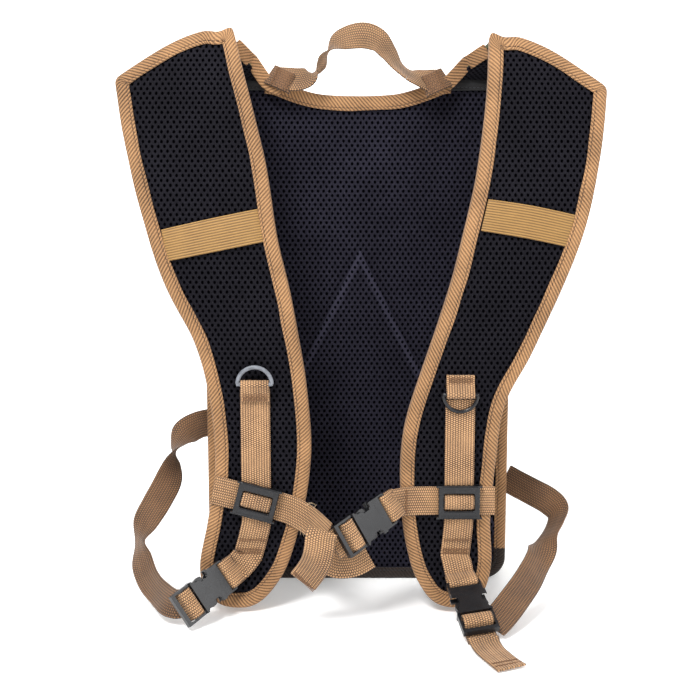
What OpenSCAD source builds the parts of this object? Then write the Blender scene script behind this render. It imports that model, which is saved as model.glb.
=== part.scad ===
// Vest-style harness pack: a slim zipped bag carried on two wide, air-mesh shoulder straps.
// The straps hang from a yoke at the top of the bag. A sternum strap joins them in front, and
// each strap's lower end clips to a side webbing that comes from the bag's edge.
// Millimetres. X is to the right seen from the harness side, +Y goes from the harness towards
// the bag, Z is up. The origin is the middle of the back panel's face, on the ground.

/* [Pack] */
// Width of the back panel
pack_w = 276; // [266:1:286]
// Height of the pack at the shoulder seams
pack_h = 458; // [450:1:460]
// How far the neckline dips below the shoulder seams
neck_dip = 15; // [10:1:18]
// Depth from the back panel's face to the rear flap
pack_d = 72; // [60:1:84]
// Wall thickness of the bag's padded fabric
bag_wall = 2.4; // [2:0.2:3]
// Depth of the pocket on the rear flap
pocket_d = 18; // [12:1:24]

/* [Harness] */
// Distance from the back panel to the front of the hanging straps
strap_reach = 75; // [72:1:78]
// Thickness of a strap's air mesh
mesh_t = 3; // [2:0.5:3]
// Thickness of a strap's foam core
foam_t = 6; // [5:0.5:6]
// Thickness of a strap's backing fabric
backing_t = 1.2; // [1:0.1:1.2]
// Visible width of the edge binding
binding_w = 12; // [10:0.5:12.5]
// Thickness of one layer of edge binding
binding_t = 1.2; // [1:0.1:1.2]

/* [Webbing and hardware] */
// Width of every webbing
web_w = 25; // [24:0.5:25]
// Thickness of every webbing
web_t = 1.6; // [1.2:0.1:1.6]
// Length of a closed side-release buckle
buckle_l = 57; // [56:1:60]
// Width of a side-release buckle
buckle_w = 30; // [29:0.5:31]
// Thickness of a side-release buckle
buckle_t = 9.4; // [9:0.1:9.6]
// Radius of the wire of a D-ring
ring_r = 1.6; // [1.4:0.1:1.7]

/* [Hidden] */
$fn = 32;

tan_brown = [0.58, 0.43, 0.28];
web_brown = [0.60, 0.46, 0.30];
gold_tan = [0.76, 0.62, 0.36];
mesh_navy = [0.10, 0.11, 0.15];
plastic = [0.20, 0.21, 0.23];
camo = [0.42, 0.42, 0.28];
foam_grey = [0.45, 0.45, 0.45];

gap = 0.3;                                // clearance between neighbouring layers
panel_foam_t = 6;                         // foam of the back panel
panel_back = mesh_t + panel_foam_t + 2 * gap + 1.2;
shell_front = panel_back + gap;
neck_half = 84;                           // half width of the neckline
seam_y = -2;                              // the yokes' hinge seam, just above the panel
seam_z = pack_h + 5;
corner_r = 20;                            // corners of the panel
zip_inset = 1.5;                          // the zipper's band, in from the outline
zip_w = 6;
flap_inset = zip_inset + zip_w + 0.8;
flap_y = pack_d + gap;
flap_t = 2.6;
flap_hinge_z = 10;
zip_park_z = 400;                         // where the main zip's sliders rest
pocket_w = 210;
pocket_z0 = 60;
pocket_z1 = 250;

// ---------------------------------------------------------------- general functions
function mirror_x(list) = [for (p = list) [-p[0], p[1]]];
function reversed(list) = [for (i = [len(list) - 1 : -1 : 0]) list[i]];
function unit(v) = v / norm(v);
// A point on the smooth curve through list, in its segment i at t from 0 to 1
function on_curve(list, i, t) =
  let (n = len(list), a = list[max(i - 1, 0)], b = list[i], c = list[i + 1],
       d = list[min(i + 2, n - 1)])
  0.5 * (2 * b + (c - a) * t + (2 * a - 5 * b + 4 * c - d) * t * t
    + (3 * b - a - 3 * c + d) * t * t * t);
// The curve through list with steps points for each of its segments
function smooth(list, steps) = concat(
  [for (i = [0 : len(list) - 2], s = [0 : steps - 1]) on_curve(list, i, s / steps)],
  [list[len(list) - 1]]);
// Corner points of an arc, from angle a0 to a1, around c
function arc(c, r, a0, a1, n = 6) =
  [for (i = [0 : n]) c + r * [cos(a0 + (a1 - a0) * i / n), sin(a0 + (a1 - a0) * i / n)]];

// A thick sheet between two rows of points: low and high are the four rows' pairs
module skin(low_a, low_b, high_a, high_b) {
  n = len(low_a);
  tris = function (a, b, c, d) [[a, b, c], [a, c, d]];
  faces = [for (i = [0 : n - 2]) each concat(
      tris(i, i + 1, n + i + 1, n + i),
      tris(2 * n + i, 3 * n + i, 3 * n + i + 1, 2 * n + i + 1),
      tris(i, 2 * n + i, 2 * n + i + 1, i + 1),
      tris(n + i, n + i + 1, 3 * n + i + 1, 3 * n + i))];
  ends = concat(tris(0, n, 3 * n, 2 * n),
    tris(n - 1, 3 * n - 1, 4 * n - 1, 2 * n - 1));
  polyhedron(concat(low_a, low_b, high_a, high_b), concat(faces, ends));
}

// A flat band along a route. Each station is [place, direction across the band].
module band(route, w = web_w, t = web_t) {
  n = len(route);
  across = [for (s = route) unit(s[1]) * w / 2];
  along = [for (i = [0 : n - 1]) route[min(i + 1, n - 1)][0] - route[max(i - 1, 0)][0]];
  face = [for (i = [0 : n - 1]) unit(cross(along[i], across[i])) * t / 2];
  place = function (side, level)
    [for (i = [0 : n - 1]) route[i][0] + side * across[i] + level * face[i]];
  skin(place(-1, -1), place(1, -1), place(-1, 1), place(1, 1));
}

// ---------------------------------------------------------------- the bag
// Half of the panel's outline, to the right, drawn inset from the real edge
function half_outline(inset) =
  let (x = pack_w / 2 - inset, top = pack_h - inset, r = corner_r - inset * 0.6,
       dip = neck_dip)
  concat(
    arc([x - r, inset + r], r, -90, 0),
    arc([x - r, top - r], r, 0, 90),
    [[neck_half, top], [62, top - dip * 0.62], [34, top - dip * 0.9], [0, top - dip]]);

function outline(inset) = let (half = half_outline(inset))
  concat(half, reversed([for (i = [0 : len(half) - 2]) [-half[i][0], half[i][1]]]));

// A slab of the panel's outline between y0 and y1
module slab(inset, y0, y1) {
  translate([0, y1, 0]) rotate([90, 0, 0]) linear_extrude(y1 - y0) polygon(outline(inset));
}

module ring_slab(inset, w, y0, y1) {
  difference() {
    slab(inset, y0, y1);
    slab(inset + w, y0 - 1, y1 + 1);
  }
}

module back_panel_mesh() color(mesh_navy) slab(binding_t + gap, 0, mesh_t);

module back_panel_foam() color(foam_grey)
  slab(binding_t + gap, mesh_t + gap, mesh_t + gap + panel_foam_t);

module back_panel_lining() color("dimgray")
  slab(binding_t + gap, panel_back - 1.2, panel_back);

module bag_shell() color(camo) ring_slab(0, bag_wall, shell_front, pack_d);

// The part of the outline's edge that one tape covers: a lip on the mesh and a wall outside
module edge_tape(lip) {
  difference() {
    slab(0, -binding_t - gap, panel_back);
    slab(binding_t, -gap, panel_back + 1);
    slab(lip, -binding_t - gap - 1, 1);
  }
}

module side_binding() color(tan_brown) for (side = [-1, 1]) intersection() {
  edge_tape(10);
  translate([side * (pack_w / 2) - 30, -20, corner_r + 10])
    cube([60, 60, pack_h - 2 * corner_r - 14]);
}

module bottom_binding() color([0.16, 0.12, 0.10]) intersection() {
  edge_tape(10);
  translate([-pack_w, -20, -1]) cube([2 * pack_w, 60, corner_r + 10.7]);
}

module neck_binding() color(tan_brown) intersection() {
  edge_tape(binding_w);
  translate([-neck_half + 4, -20, pack_h - 60]) cube([2 * neck_half - 8, 60, 90]);
}

// The sewn-down ends of the haul handle, lying on the neck binding
module handle_ends() color([0.36, 0.25, 0.17]) for (side = [-1, 1])
  translate([side * 65, -binding_t - 2 * gap - 1.2, pack_h - 12]) rotate([0, side * -24, 0])
    translate([-12, -1.2, -9]) cube([24, 2.4, 18]);

// The free arch of the haul handle: it twists from edge-on legs to a flat grip
module haul_handle() color(web_brown) {
  z0 = pack_h - 4;
  right = [[[50, -7, z0], [0.3, 0, 1]], [[40, -7, z0 + 5], [0.4, 0.4, 1]],
    [[29, -7, z0 + 18], [0.8, 1, 0.7]], [[21, -7, z0 + 32], [0.4, 1, 0.9]],
    [[12, -7, z0 + 40], [0.1, 0.4, 1]]];
  left = [for (s = right) [[-s[0][0], s[0][1], s[0][2]], [-s[1][0], s[1][1], s[1][2]]]];
  band(concat(right, [[[0, -7, z0 + 42], [0, 0.25, 1]]], reversed(left)), web_w - 1);
}

// ---------------------------------------------------------------- zips, flap and pocket
module main_zipper() color("black") intersection() {
  ring_slab(zip_inset, zip_w, pack_d + gap, pack_d + gap + 2.2);
  translate([-pack_w, pack_d - 5, corner_r + 4]) cube([2 * pack_w, 20, pack_h]);
}

module zip_slider(side) color("dimgray")
  translate([side * (pack_w / 2 - zip_inset - zip_w / 2), flap_y + flap_t + gap, zip_park_z]) {
    translate([-4, 0, -6]) cube([8, 1.6, 12]);
    for (x = [-3.2, 1.8]) translate([x, 1.5, -1.4]) cube([1.4, 2.4, 2.8]);
  }

module zip_pull(side) color("silver")
  translate([side * (pack_w / 2 - zip_inset - zip_w / 2), flap_y + 7, zip_park_z]) {
    rotate([0, 90, 0]) cylinder(r = 0.7, h = 2.8, center = true);
    difference() {
      translate([-1.4, -0.7, -24]) cube([2.8, 1.4, 24]);
      translate([0, 5, -20]) rotate([90, 0, 0]) cylinder(r = 0.8, h = 10);
    }
  }

module left_zip_slider() zip_slider(-1);
module left_zip_pull() zip_pull(-1);
module right_zip_slider() zip_slider(1);
module right_zip_pull() zip_pull(1);

module rear_flap() color(camo) slab(flap_inset, flap_y, flap_y + flap_t);

module pocket_block(inset, y0, y1) {
  translate([0, y1, 0]) rotate([90, 0, 0]) linear_extrude(y1 - y0) polygon(concat(
    arc([pocket_w / 2 - 18, pocket_z0 + 18], 18 - inset, -90, 0),
    arc([pocket_w / 2 - 10, pocket_z1 - 10], 10 - inset, 0, 90),
    arc([10 - pocket_w / 2, pocket_z1 - 10], 10 - inset, 90, 180),
    arc([18 - pocket_w / 2, pocket_z0 + 18], 18 - inset, 180, 270)));
}

// A tray that is closed by the flap
module pocket_shell() color(camo) difference() {
  pocket_block(0, flap_y + flap_t + gap, flap_y + flap_t + gap + pocket_d);
  pocket_block(1.6, flap_y, flap_y + flap_t + gap + pocket_d - 1.6);
}

module pocket_zipper() color("black")
  translate([-pocket_w / 2 + 12, flap_y + flap_t + 6, pocket_z1 + gap])
    cube([pocket_w - 24, 6, 1.6]);

module pocket_zip_slider() color("dimgray")
  translate([-pocket_w / 2 + 22, flap_y + flap_t + 9, pocket_z1 + gap + 1.6 + gap]) {
    translate([-6, -4, 0]) cube([12, 8, 1.6]);
    translate([-1.4, -1.2, 1.5]) cube([2.8, 2.4, 2]);
    translate([-1.4, -1.2, 3]) cube([2.8, 22, 1.4]);
  }

// ---------------------------------------------------------------- strap surface
// The straps' front face bends back to the shoulders and forward to their tips
bend_top = 300;
bend_low = 60;
function strap_y(z) = -strap_reach
  + (z > bend_top ? 37 * pow((z - bend_top) / 190, 2) : 0)
  - (z < bend_low ? 12 * pow((bend_low - z) / bend_low, 2) : 0);
function strap_slope(z) = (z > bend_top ? 74 * (z - bend_top) / pow(190, 2) : 0)
  + (z < bend_low ? 24 * (bend_low - z) / pow(bend_low, 2) : 0);
// A place on the strap: p is its x and z, and d is how far it stands proud of the face
function on_strap(p, d) = [p[0], strap_y(p[1]), p[1]]
  + d * unit([0, -1, strap_slope(p[1])]);

// Outer and inner edges of each strap, from the shoulder down to the tip
left_outer = [[-203, 452], [-192, 394], [-179, 340], [-162, 284], [-138, 235], [-125, 184],
  [-121, 128], [-129, 80], [-136, 40], [-131, 18], [-120, 8], [-109, 5]];
left_inner = [[-107, 497], [-92, 440], [-78, 384], [-68, 318], [-56, 262], [-44, 192],
  [-41, 138], [-48, 86], [-61, 42], [-74, 20], [-86, 9], [-97, 5]];
right_outer = [[207, 445], [200, 388], [189, 334], [171, 282], [146, 226], [124, 180],
  [117, 130], [113, 82], [115, 44], [109, 20], [98, 9], [88, 5]];
right_inner = [[112, 492], [108, 440], [101, 384], [88, 322], [72, 262], [54, 208],
  [38, 148], [38, 88], [46, 42], [56, 20], [66, 9], [77, 5]];
curve_steps = 2;
function strap_loop(outer, inner) =
  concat(smooth(outer, curve_steps), reversed(smooth(inner, curve_steps)));
left_loop = strap_loop(left_outer, left_inner);
right_loop = strap_loop(right_outer, right_inner);

// The loop moved inwards by a; turn is 1 for a loop that runs anticlockwise
function inset_loop(loop, a, turn) = let (n = len(loop))
  [for (i = [0 : n - 1]) let (
      before = unit(loop[i] - loop[(i + n - 1) % n]),
      after = unit(loop[(i + 1) % n] - loop[i]),
      n1 = turn * [-before[1], before[0]], n2 = turn * [-after[1], after[0]],
      mitre = (n1 + n2) / (1 + n1 * n2))
    loop[i] + a * mitre];

// One layer of a strap, inset from its edge, from depth d0 to d1
module strap_layer(loop, turn, inset, d0, d1) {
  edge = inset_loop(loop, inset, turn);
  n = len(edge) / 2;
  a = [for (i = [0 : n - 1]) edge[i]];
  b = [for (i = [0 : n - 1]) edge[2 * n - 1 - i]];
  level = function (row, d) [for (p = row) on_strap(p, d)];
  if (turn > 0) skin(level(a, d0), level(b, d0), level(a, d1), level(b, d1));
  else skin(level(b, d0), level(a, d0), level(b, d1), level(a, d1));
}

layer_inset = binding_t + gap;
back_lip_gap = 0.9;                       // room under the tape's lip on the curved back
foam_top = -mesh_t - gap;
backing_top = foam_top - foam_t - gap;
strap_back = backing_top - backing_t;

// A folded tape round the whole edge of a strap
module strap_tape(loop, turn) {
  section = [[binding_w, gap], [binding_w, gap + binding_t], [0, gap + binding_t],
    [0, strap_back - back_lip_gap - binding_t],
    [binding_w, strap_back - back_lip_gap - binding_t],
    [binding_w, strap_back - back_lip_gap], [binding_t, strap_back - back_lip_gap],
    [binding_t, gap]];
  n = len(loop);
  m = len(section);
  rows = [for (s = section) inset_loop(loop, s[0], turn)];
  points = [for (i = [0 : n - 1], j = [0 : m - 1]) on_strap(rows[j][i], section[j][1])];
  faces = [for (i = [0 : n - 1], j = [0 : m - 1]) let (
      a = i * m + j, b = i * m + (j + 1) % m,
      c = ((i + 1) % n) * m + (j + 1) % m, d = ((i + 1) % n) * m + j)
    each (turn > 0 ? [[a, c, b], [a, d, c]] : [[a, b, c], [a, c, d]])];
  polyhedron(points, faces);
}

// A flat band that follows the strap: rows hold x and z, and how proud it stands
module strap_band(row_a, row_b, t) {
  level = function (row, up) [for (p = row) on_strap([p[0], p[1]], p[2] + up)];
  skin(level(row_a, 0), level(row_b, 0), level(row_a, t), level(row_b, t));
}

// The fabric yoke from a strap's top edge back to the seam on the bag
yoke_t = 4;
function yoke_rows(outer, inner, side) = let (
    behind = strap_back - binding_t - 2 * gap - 2,
    o = on_strap(outer[0], behind), i = on_strap(inner[0], behind),
    so = [side * 140, seam_y, seam_z + 2], si = [side * neck_half, seam_y, seam_z + 2])
  [for (row = [[o, so], [i, si]]) [for (t = [0 : 0.25 : 1])
    row[0] + (row[1] - row[0]) * t + [0, 0, 16 * t * (1 - t)]]];

module yoke(outer, inner, side) color(camo) {
  rows = yoke_rows(outer, inner, side);
  low = function (row) [for (p = row) p - [0, 0, yoke_t]];
  a = side < 0 ? rows[0] : rows[1];
  b = side < 0 ? rows[1] : rows[0];
  skin(low(a), low(b), a, b);
}

// The tape on the yoke's inner edge, which carries the neckline up to the strap
module yoke_tape(outer, inner, side) {
  row = yoke_rows(outer, inner, side)[1];
  band([for (p = row) [p + [-side * 1.4, 0, -yoke_t / 2], [0, 0, 1]]], binding_w - 3,
    binding_t);
}

// ---------------------------------------------------------------- strap fittings
left_web_x = -87;                         // centre lines of the two strap webbings
right_web_x = 86;
web_stand = 3.8;                          // how proud a strap webbing stands
web_low = 75;                             // where it starts to come down to its bar tack
left_ring_z = 199;
right_ring_z = 190;
ring_stand = 7.4;                         // the D-ring's bar, proud of the strap
ring_y = -strap_reach - ring_stand;
ring_arc_r = web_w / 2 + 0.3 + ring_r;
slider_z = 97;                            // middle of both sternum sliders
sternum_tilt = 15;                        // the left slider's turn

// A strap webbing from z_top down to its bar tack, where it leans to lean_x
module strap_webbing(x, z_top, lean_x) {
  at = function (side) [for (s = [[x, z_top, web_stand], [x, web_low, web_stand],
      [x + lean_x / 2, 58, 2], [x + lean_x, 44, 0.8]])
    [s[0] + side * web_w / 2, s[1], s[2]]];
  strap_band(at(-1), at(1), web_t);
}

// The webbing loop that holds a D-ring's bar, sewn to the strap below (-1) or above (1)
module ring_loop(x, z, up) color(web_brown) difference() {
  union() {
    translate([x, ring_y, z]) rotate([0, 90, 0])
      cylinder(r = 3.7, h = web_w - 1.4, center = true);
    translate([x - web_w / 2 + 0.7, ring_y, z - (up > 0 ? 0 : 3)])
      cube([web_w - 1.4, ring_stand - 0.4, 3]);
    translate([x - web_w / 2, -strap_reach - 3.5, up > 0 ? z : z - 16])
      cube([web_w, 3.1, 16]);
  }
  translate([x, ring_y, z]) rotate([0, 90, 0])
    cylinder(r = ring_r + 0.4, h = web_w + 2, center = true);
}

// A D-ring whose arc points up (1) or hangs down (-1)
module d_ring(x, z, up) translate([x, ring_y, z]) {
  rotate([0, 90, 0]) cylinder(r = ring_r, h = 2 * ring_arc_r, center = true);
  for (side = [-1, 1]) translate([side * ring_arc_r, 0, 0]) sphere(r = ring_r);
  rotate([90, 0, 0]) rotate([0, 0, up > 0 ? 0 : 180])
    rotate_extrude(angle = 180) translate([ring_arc_r, 0]) circle(r = ring_r);
}

// A sternum slider: a front frame with a middle bar crosses the strap webbing, and two rear
// bars hold it from behind. The sternum webbing passes between them, behind the webbing.
module sternum_slider(x, tilt) translate([x, -strap_reach, slider_z]) rotate([0, tilt, 0]) {
  difference() {
    translate([-17.5, -9, -14.5]) cube([35, 3.2, 29]);
    translate([-14, -20, -9.5]) cube([28, 30, 19]);
  }
  translate([-15, -9, -1.4]) cube([30, 1.6, 2.8]);
  for (end = [-1, 1]) {
    translate([-19.4, -9, end > 0 ? 12.9 : -14.5]) cube([38.8, 3.2, 1.6]);
    translate([-19.4, -3.4, end > 0 ? 12.9 : -14.5]) cube([38.8, 1.6, 1.6]);
    for (side = [-1, 1]) translate([side > 0 ? 17.4 : -19.4, -9, end > 0 ? 12.9 : -14.5])
      cube([2, 7.2, 1.6]);
  }
}

// The band of a sternum strap in its own plane: x along it, y out of the strap
module sternum_band(path) {
  n = len(path);
  side = function (s) [for (i = [0 : n - 1]) let (
      v = unit(path[min(i + 1, n - 1)] - path[max(i - 1, 0)]))
    path[i] + s * web_t / 2 * [-v[1], v[0]]];
  translate([0, 0, -web_w / 2]) linear_extrude(web_w)
    polygon(concat(side(1), reversed(side(-1))));
}

// ---------------------------------------------------------------- side-release buckle
// Its own frame: the plug's webbing bar at x = 0, the socket's ladder end at x = buckle_l,
// y across it and z out of its face
plug_l = 15;
arm_v = 8.4;                              // where a prong's root sits across the plug
body_end = 37;

module box_at(x0, x1, v, t) translate([x0, -v, -t / 2]) cube([x1 - x0, 2 * v, t]);

module plug() color(plastic) difference() {
  union() {
    box_at(0, plug_l, buckle_w / 2 - 0.5, 5);
    box_at(plug_l - 1, 32, 3.4, 4);
    translate([32, 0, 0]) cylinder(r = 3.4, h = 4, center = true);
  }
  box_at(3.6, 7.6, web_w / 2 + 0.3, 8);
  for (side = [-1, 1]) translate([0, side * buckle_w / 2, 0]) rotate([0, 0, 45])
    cube([5, 5, 8], center = true);
}

// A prong on one side of the plug: its arm bends at the root
module prong(side) color(plastic) {
  translate([plug_l + 1.6, side * arm_v, 0]) cylinder(r = 1.2, h = 4.4, center = true);
  translate([0, 0, -2.2]) linear_extrude(4.4) polygon([for (p = [[plug_l + 1.6, 7.2],
      [26, 7], [34, 7.6], [36.2, 8.6], [36.2, 10], [34, 13], [29, 14.2], [25.6, 13.6],
      [24, 9.6], [plug_l + 1.6, 9.6]]) [p[0], side * p[1]]]);
}

module socket() color(plastic) difference() {
  union() {
    box_at(plug_l + 0.5, body_end + 1, buckle_w / 2, buckle_t);
    box_at(body_end, buckle_l, buckle_w / 2, 5);
  }
  box_at(plug_l - 1, body_end - 0.3, 12.4, 5.6);
  for (side = [-1, 1]) {
    translate([plug_l - 1, side > 0 ? 6 : -26, -2.8]) cube([body_end - plug_l, 20, 5.6]);
    translate([27, side * (buckle_w / 2 + 1.6), 0]) {
      translate([0, -4.5, -10]) cube([5, 9, 20]);
      for (x = [0, 5]) translate([x, 0, 0]) cylinder(r = 4.5, h = 20, center = true);
    }
  }
  box_at(body_end + 1, body_end + 8, web_w / 2 + 0.5, 20);
  box_at(body_end + 11, buckle_l - 3.4, web_w / 2 + 0.5, 20);
}

// Where each buckle sits: the plug's end, and the turns about x, y and z
sternum_at = [[27, -88, 95], [-69, 21, -140.5]];
left_at = [[-110, -86, 36], [-63, 21, -135]];
right_at = [[88, -96, 32], [6, 24, -78]];
module placed(at) translate(at[0]) rotate(at[1]) children();

module sternum_plug() placed(sternum_at) plug();
module sternum_prong_upper() placed(sternum_at) prong(-1);
module sternum_prong_lower() placed(sternum_at) prong(1);
module sternum_socket() placed(sternum_at) socket();
module left_plug() placed(left_at) plug();
module left_prong_front() placed(left_at) prong(1);
module left_prong_rear() placed(left_at) prong(-1);
module left_socket() placed(left_at) socket();
module right_plug() placed(right_at) plug();
module right_prong_front() placed(right_at) prong(1);
module right_prong_rear() placed(right_at) prong(-1);
module right_socket() placed(right_at) socket();

// ---------------------------------------------------------------- left and right harness
module left_yoke() yoke(left_outer, left_inner, -1);
module left_strap_mesh() color(mesh_navy)
  strap_layer(left_loop, 1, layer_inset, -mesh_t, 0);
module left_strap_foam() color(foam_grey)
  strap_layer(left_loop, 1, layer_inset, foam_top - foam_t, foam_top);
module left_strap_backing() color(camo)
  strap_layer(left_loop, 1, layer_inset, strap_back, backing_top);
module left_strap_binding() color(tan_brown) {
  strap_tape(left_loop, 1);
  yoke_tape(left_outer, left_inner, -1);
}
module left_keeper() color(gold_tan)
  strap_band([[-156, 302, 0.3], [-118, 309.5, 1], [-81, 317, 0.3]],
    [[-161, 328, 0.3], [-123, 336.5, 1], [-86, 344, 0.3]], web_t);
module left_strap_webbing() color(web_brown)
  strap_webbing(left_web_x, left_ring_z - 4.2, -10);
module left_ring_loop() ring_loop(left_web_x, left_ring_z, -1);
module left_d_ring() color([0.4, 0.42, 0.45]) d_ring(left_web_x, left_ring_z, 1);
module left_sternum_slider() color(plastic) sternum_slider(left_web_x, sternum_tilt);
module left_sternum_webbing() color(web_brown)
  translate([left_web_x, -strap_reach, slider_z]) rotate([0, sternum_tilt, 0])
    sternum_band([[-38, -2.6], [40, -2.6], [50, -5], [60, -14], [71, -36]]);

module right_yoke() yoke(right_outer, right_inner, 1);
module right_strap_mesh() color(mesh_navy)
  strap_layer(right_loop, -1, layer_inset, -mesh_t, 0);
module right_strap_foam() color(foam_grey)
  strap_layer(right_loop, -1, layer_inset, foam_top - foam_t, foam_top);
module right_strap_backing() color(camo)
  strap_layer(right_loop, -1, layer_inset, strap_back, backing_top);
module right_strap_binding() color(tan_brown) {
  strap_tape(right_loop, -1);
  yoke_tape(right_outer, right_inner, 1);
}
module right_keeper() color(gold_tan)
  strap_band([[104, 326, 0.3], [138, 320.5, 1], [170, 314, 0.3]],
    [[110, 352, 0.3], [144, 347, 1], [177, 340, 0.3]], web_t);
module right_strap_webbing() color(web_brown)
  strap_webbing(right_web_x, right_ring_z - 4.2, -3);
module right_ring_loop() ring_loop(right_web_x, right_ring_z, 1);
module right_d_ring() color(plastic) d_ring(right_web_x, right_ring_z, -1);
module right_sternum_slider() color(plastic) sternum_slider(right_web_x, 0);
module right_sternum_webbing() color(web_brown)
  translate([right_web_x, -strap_reach, slider_z])
    sternum_band([[31, -2.6], [-34, -2.6], [-46, -4.6], [-57, -11.6]]);

// The sternum strap's spare length, folded over the ladder and hanging in two runs
module sternum_tail() color(web_brown) {
  band([[[-24, -127, 75], [0.8, 0.1, -0.7]], [[-32, -124, 62], [0.9, 0.1, -0.5]],
    [[-43, -116, 32], [0.9, 0.2, -0.5]]]);
  band([[[-12, -112, 56], [0.9, 0.2, 0.3]], [[2, -108, 44], [0.6, 0.1, 0.8]],
    [[18, -102, 40], [0.5, 0, 0.9]]], web_w - 4);
}

// The side webbings come out of the pack's side seams in slack loops to the sockets
module left_side_webbing() color(web_brown)
  band([[[-139.5, 3, 146], [0, 0.2, 1]], [[-156, -10, 143], [-0.1, 0.2, 1]],
    [[-167, -24, 126], [0.5, -0.2, 0.8]], [[-176, -36, 104], [0.9, -0.2, 0.4]],
    [[-187, -46, 78], [0.9, -0.4, 0.3]], [[-194, -56, 50], [0.6, -0.8, 0]],
    [[-193, -68, 28], [0.4, -0.8, 0.3]], [[-184, -86, 17], [0.4, -0.1, 0.9]],
    [[-175, -104, 15], [0.5, 0.1, 0.85]], [[-165, -117, 15.5], [0.5, -0.1, 0.85]]]);
module right_side_webbing() color(web_brown)
  band([[[139.5, 3, 108], [0, 0.2, 1]], [[158, -8, 102], [0.2, 0.2, 1]],
    [[178, -24, 88], [0.5, 0, 0.9]], [[186, -42, 68], [0.9, -0.4, 0.4]],
    [[174, -66, 48], [0.8, -0.4, 0.6]], [[150, -98, 29], [0.7, -0.5, 0.5]],
    [[136, -122, 17], [0.7, -0.6, 0.2]], [[127, -138, 12], [0.8, -0.6, 0]]]);

// The right side webbing's spare end lies on the ground in front of its socket
module right_tail() color(web_brown)
  band([[[99, -158, 4.5], [1, 0.2, 0]], [[101, -168, 2.6], [1, 0.3, 0]],
    [[108, -188, 1.5], [1, 0.4, 0]], [[116, -208, 1.7], [1, 0.4, 0]]]);

back_panel_mesh();
back_panel_foam();
back_panel_lining();
bag_shell();
side_binding();
bottom_binding();
neck_binding();
handle_ends();
haul_handle();
main_zipper();
left_zip_slider();
left_zip_pull();
right_zip_slider();
right_zip_pull();
rear_flap();
pocket_shell();
pocket_zipper();
pocket_zip_slider();
left_yoke();
left_strap_mesh();
left_strap_foam();
left_strap_backing();
left_strap_binding();
left_keeper();
left_strap_webbing();
left_ring_loop();
left_d_ring();
right_yoke();
right_strap_mesh();
right_strap_foam();
right_strap_backing();
right_strap_binding();
right_keeper();
right_strap_webbing();
right_ring_loop();
right_d_ring();
left_sternum_slider();
left_sternum_webbing();
right_sternum_slider();
right_sternum_webbing();
sternum_plug();
sternum_prong_upper();
sternum_prong_lower();
sternum_socket();
sternum_tail();
left_plug();
left_prong_front();
left_prong_rear();
left_socket();
left_side_webbing();
right_plug();
right_prong_front();
right_prong_rear();
right_socket();
right_side_webbing();
right_tail();
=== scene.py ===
"""Looks of the vest-style harness pack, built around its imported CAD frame.

Lengths in this script are millimetres until a mesh is built, which scales them to metres.
"""

import math

import bmesh
import bpy
import numpy as np
from mathutils import Matrix, Vector, noise
from mathutils.bvhtree import BVHTree


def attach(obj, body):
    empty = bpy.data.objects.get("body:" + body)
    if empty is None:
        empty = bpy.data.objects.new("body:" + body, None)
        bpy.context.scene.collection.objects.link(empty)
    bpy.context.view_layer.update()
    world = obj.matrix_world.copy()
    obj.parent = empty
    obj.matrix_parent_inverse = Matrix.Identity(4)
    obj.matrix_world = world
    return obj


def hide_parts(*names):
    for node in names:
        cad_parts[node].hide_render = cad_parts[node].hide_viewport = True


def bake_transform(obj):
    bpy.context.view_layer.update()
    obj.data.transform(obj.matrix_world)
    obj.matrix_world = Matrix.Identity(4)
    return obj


MM = 0.001
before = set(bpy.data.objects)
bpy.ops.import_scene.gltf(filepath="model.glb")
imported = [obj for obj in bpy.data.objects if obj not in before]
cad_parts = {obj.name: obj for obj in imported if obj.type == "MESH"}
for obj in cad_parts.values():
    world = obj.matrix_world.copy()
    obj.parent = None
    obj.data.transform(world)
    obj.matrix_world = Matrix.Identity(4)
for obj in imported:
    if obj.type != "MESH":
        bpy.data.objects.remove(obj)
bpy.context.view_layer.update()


# ------------------------------------------------------------------ camera and light
CAMERA_PLACE = (-7, -950, 350)
CAMERA_TILT = 82
WORLD_STRENGTH = 0.72


def put(name, data):
    """A new object in the scene."""
    obj = bpy.data.objects.new(name, data)
    bpy.context.scene.collection.objects.link(obj)
    return obj


def add_camera():
    data = bpy.data.cameras.new("camera")
    data.lens = 54
    data.clip_start = 0.05
    camera = put("camera", data)
    camera.location = Vector(CAMERA_PLACE) * MM
    camera.rotation_euler = (math.radians(CAMERA_TILT), 0, 0)
    bpy.context.scene.camera = camera


def add_area_light(name, place, target, size, power):
    data = bpy.data.lights.new(name, "AREA")
    data.size = size
    data.energy = power
    lamp = put(name, data)
    lamp.location = place
    lamp.rotation_euler = (Vector(target) - Vector(place)).to_track_quat("-Z", "Y").to_euler()


def add_studio():
    world = bpy.data.worlds.new("studio")
    world.use_nodes = True
    background = world.node_tree.nodes["Background"]
    background.inputs["Color"].default_value = (1, 1, 1, 1)
    background.inputs["Strength"].default_value = WORLD_STRENGTH
    bpy.context.scene.world = world
    middle = (0, 0, 0.25)
    add_area_light("key", (-0.6, -1.1, 1.7), middle, 0.6, 36)
    add_area_light("fill", (1.4, -1.0, 0.9), middle, 0.9, 9)
    add_area_light("back", (0.2, 1.4, 1.5), middle, 1.2, 12)


# ------------------------------------------------------------------ shader tools
def srgb(red, green, blue):
    """A colour given from 0 to 255 as a screen shows it, as linear RGBA."""
    return tuple((c / 255 / 12.92) if c < 11 else ((c / 255 + 0.055) / 1.055) ** 2.4
                 for c in (red, green, blue)) + (1.0,)


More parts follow.
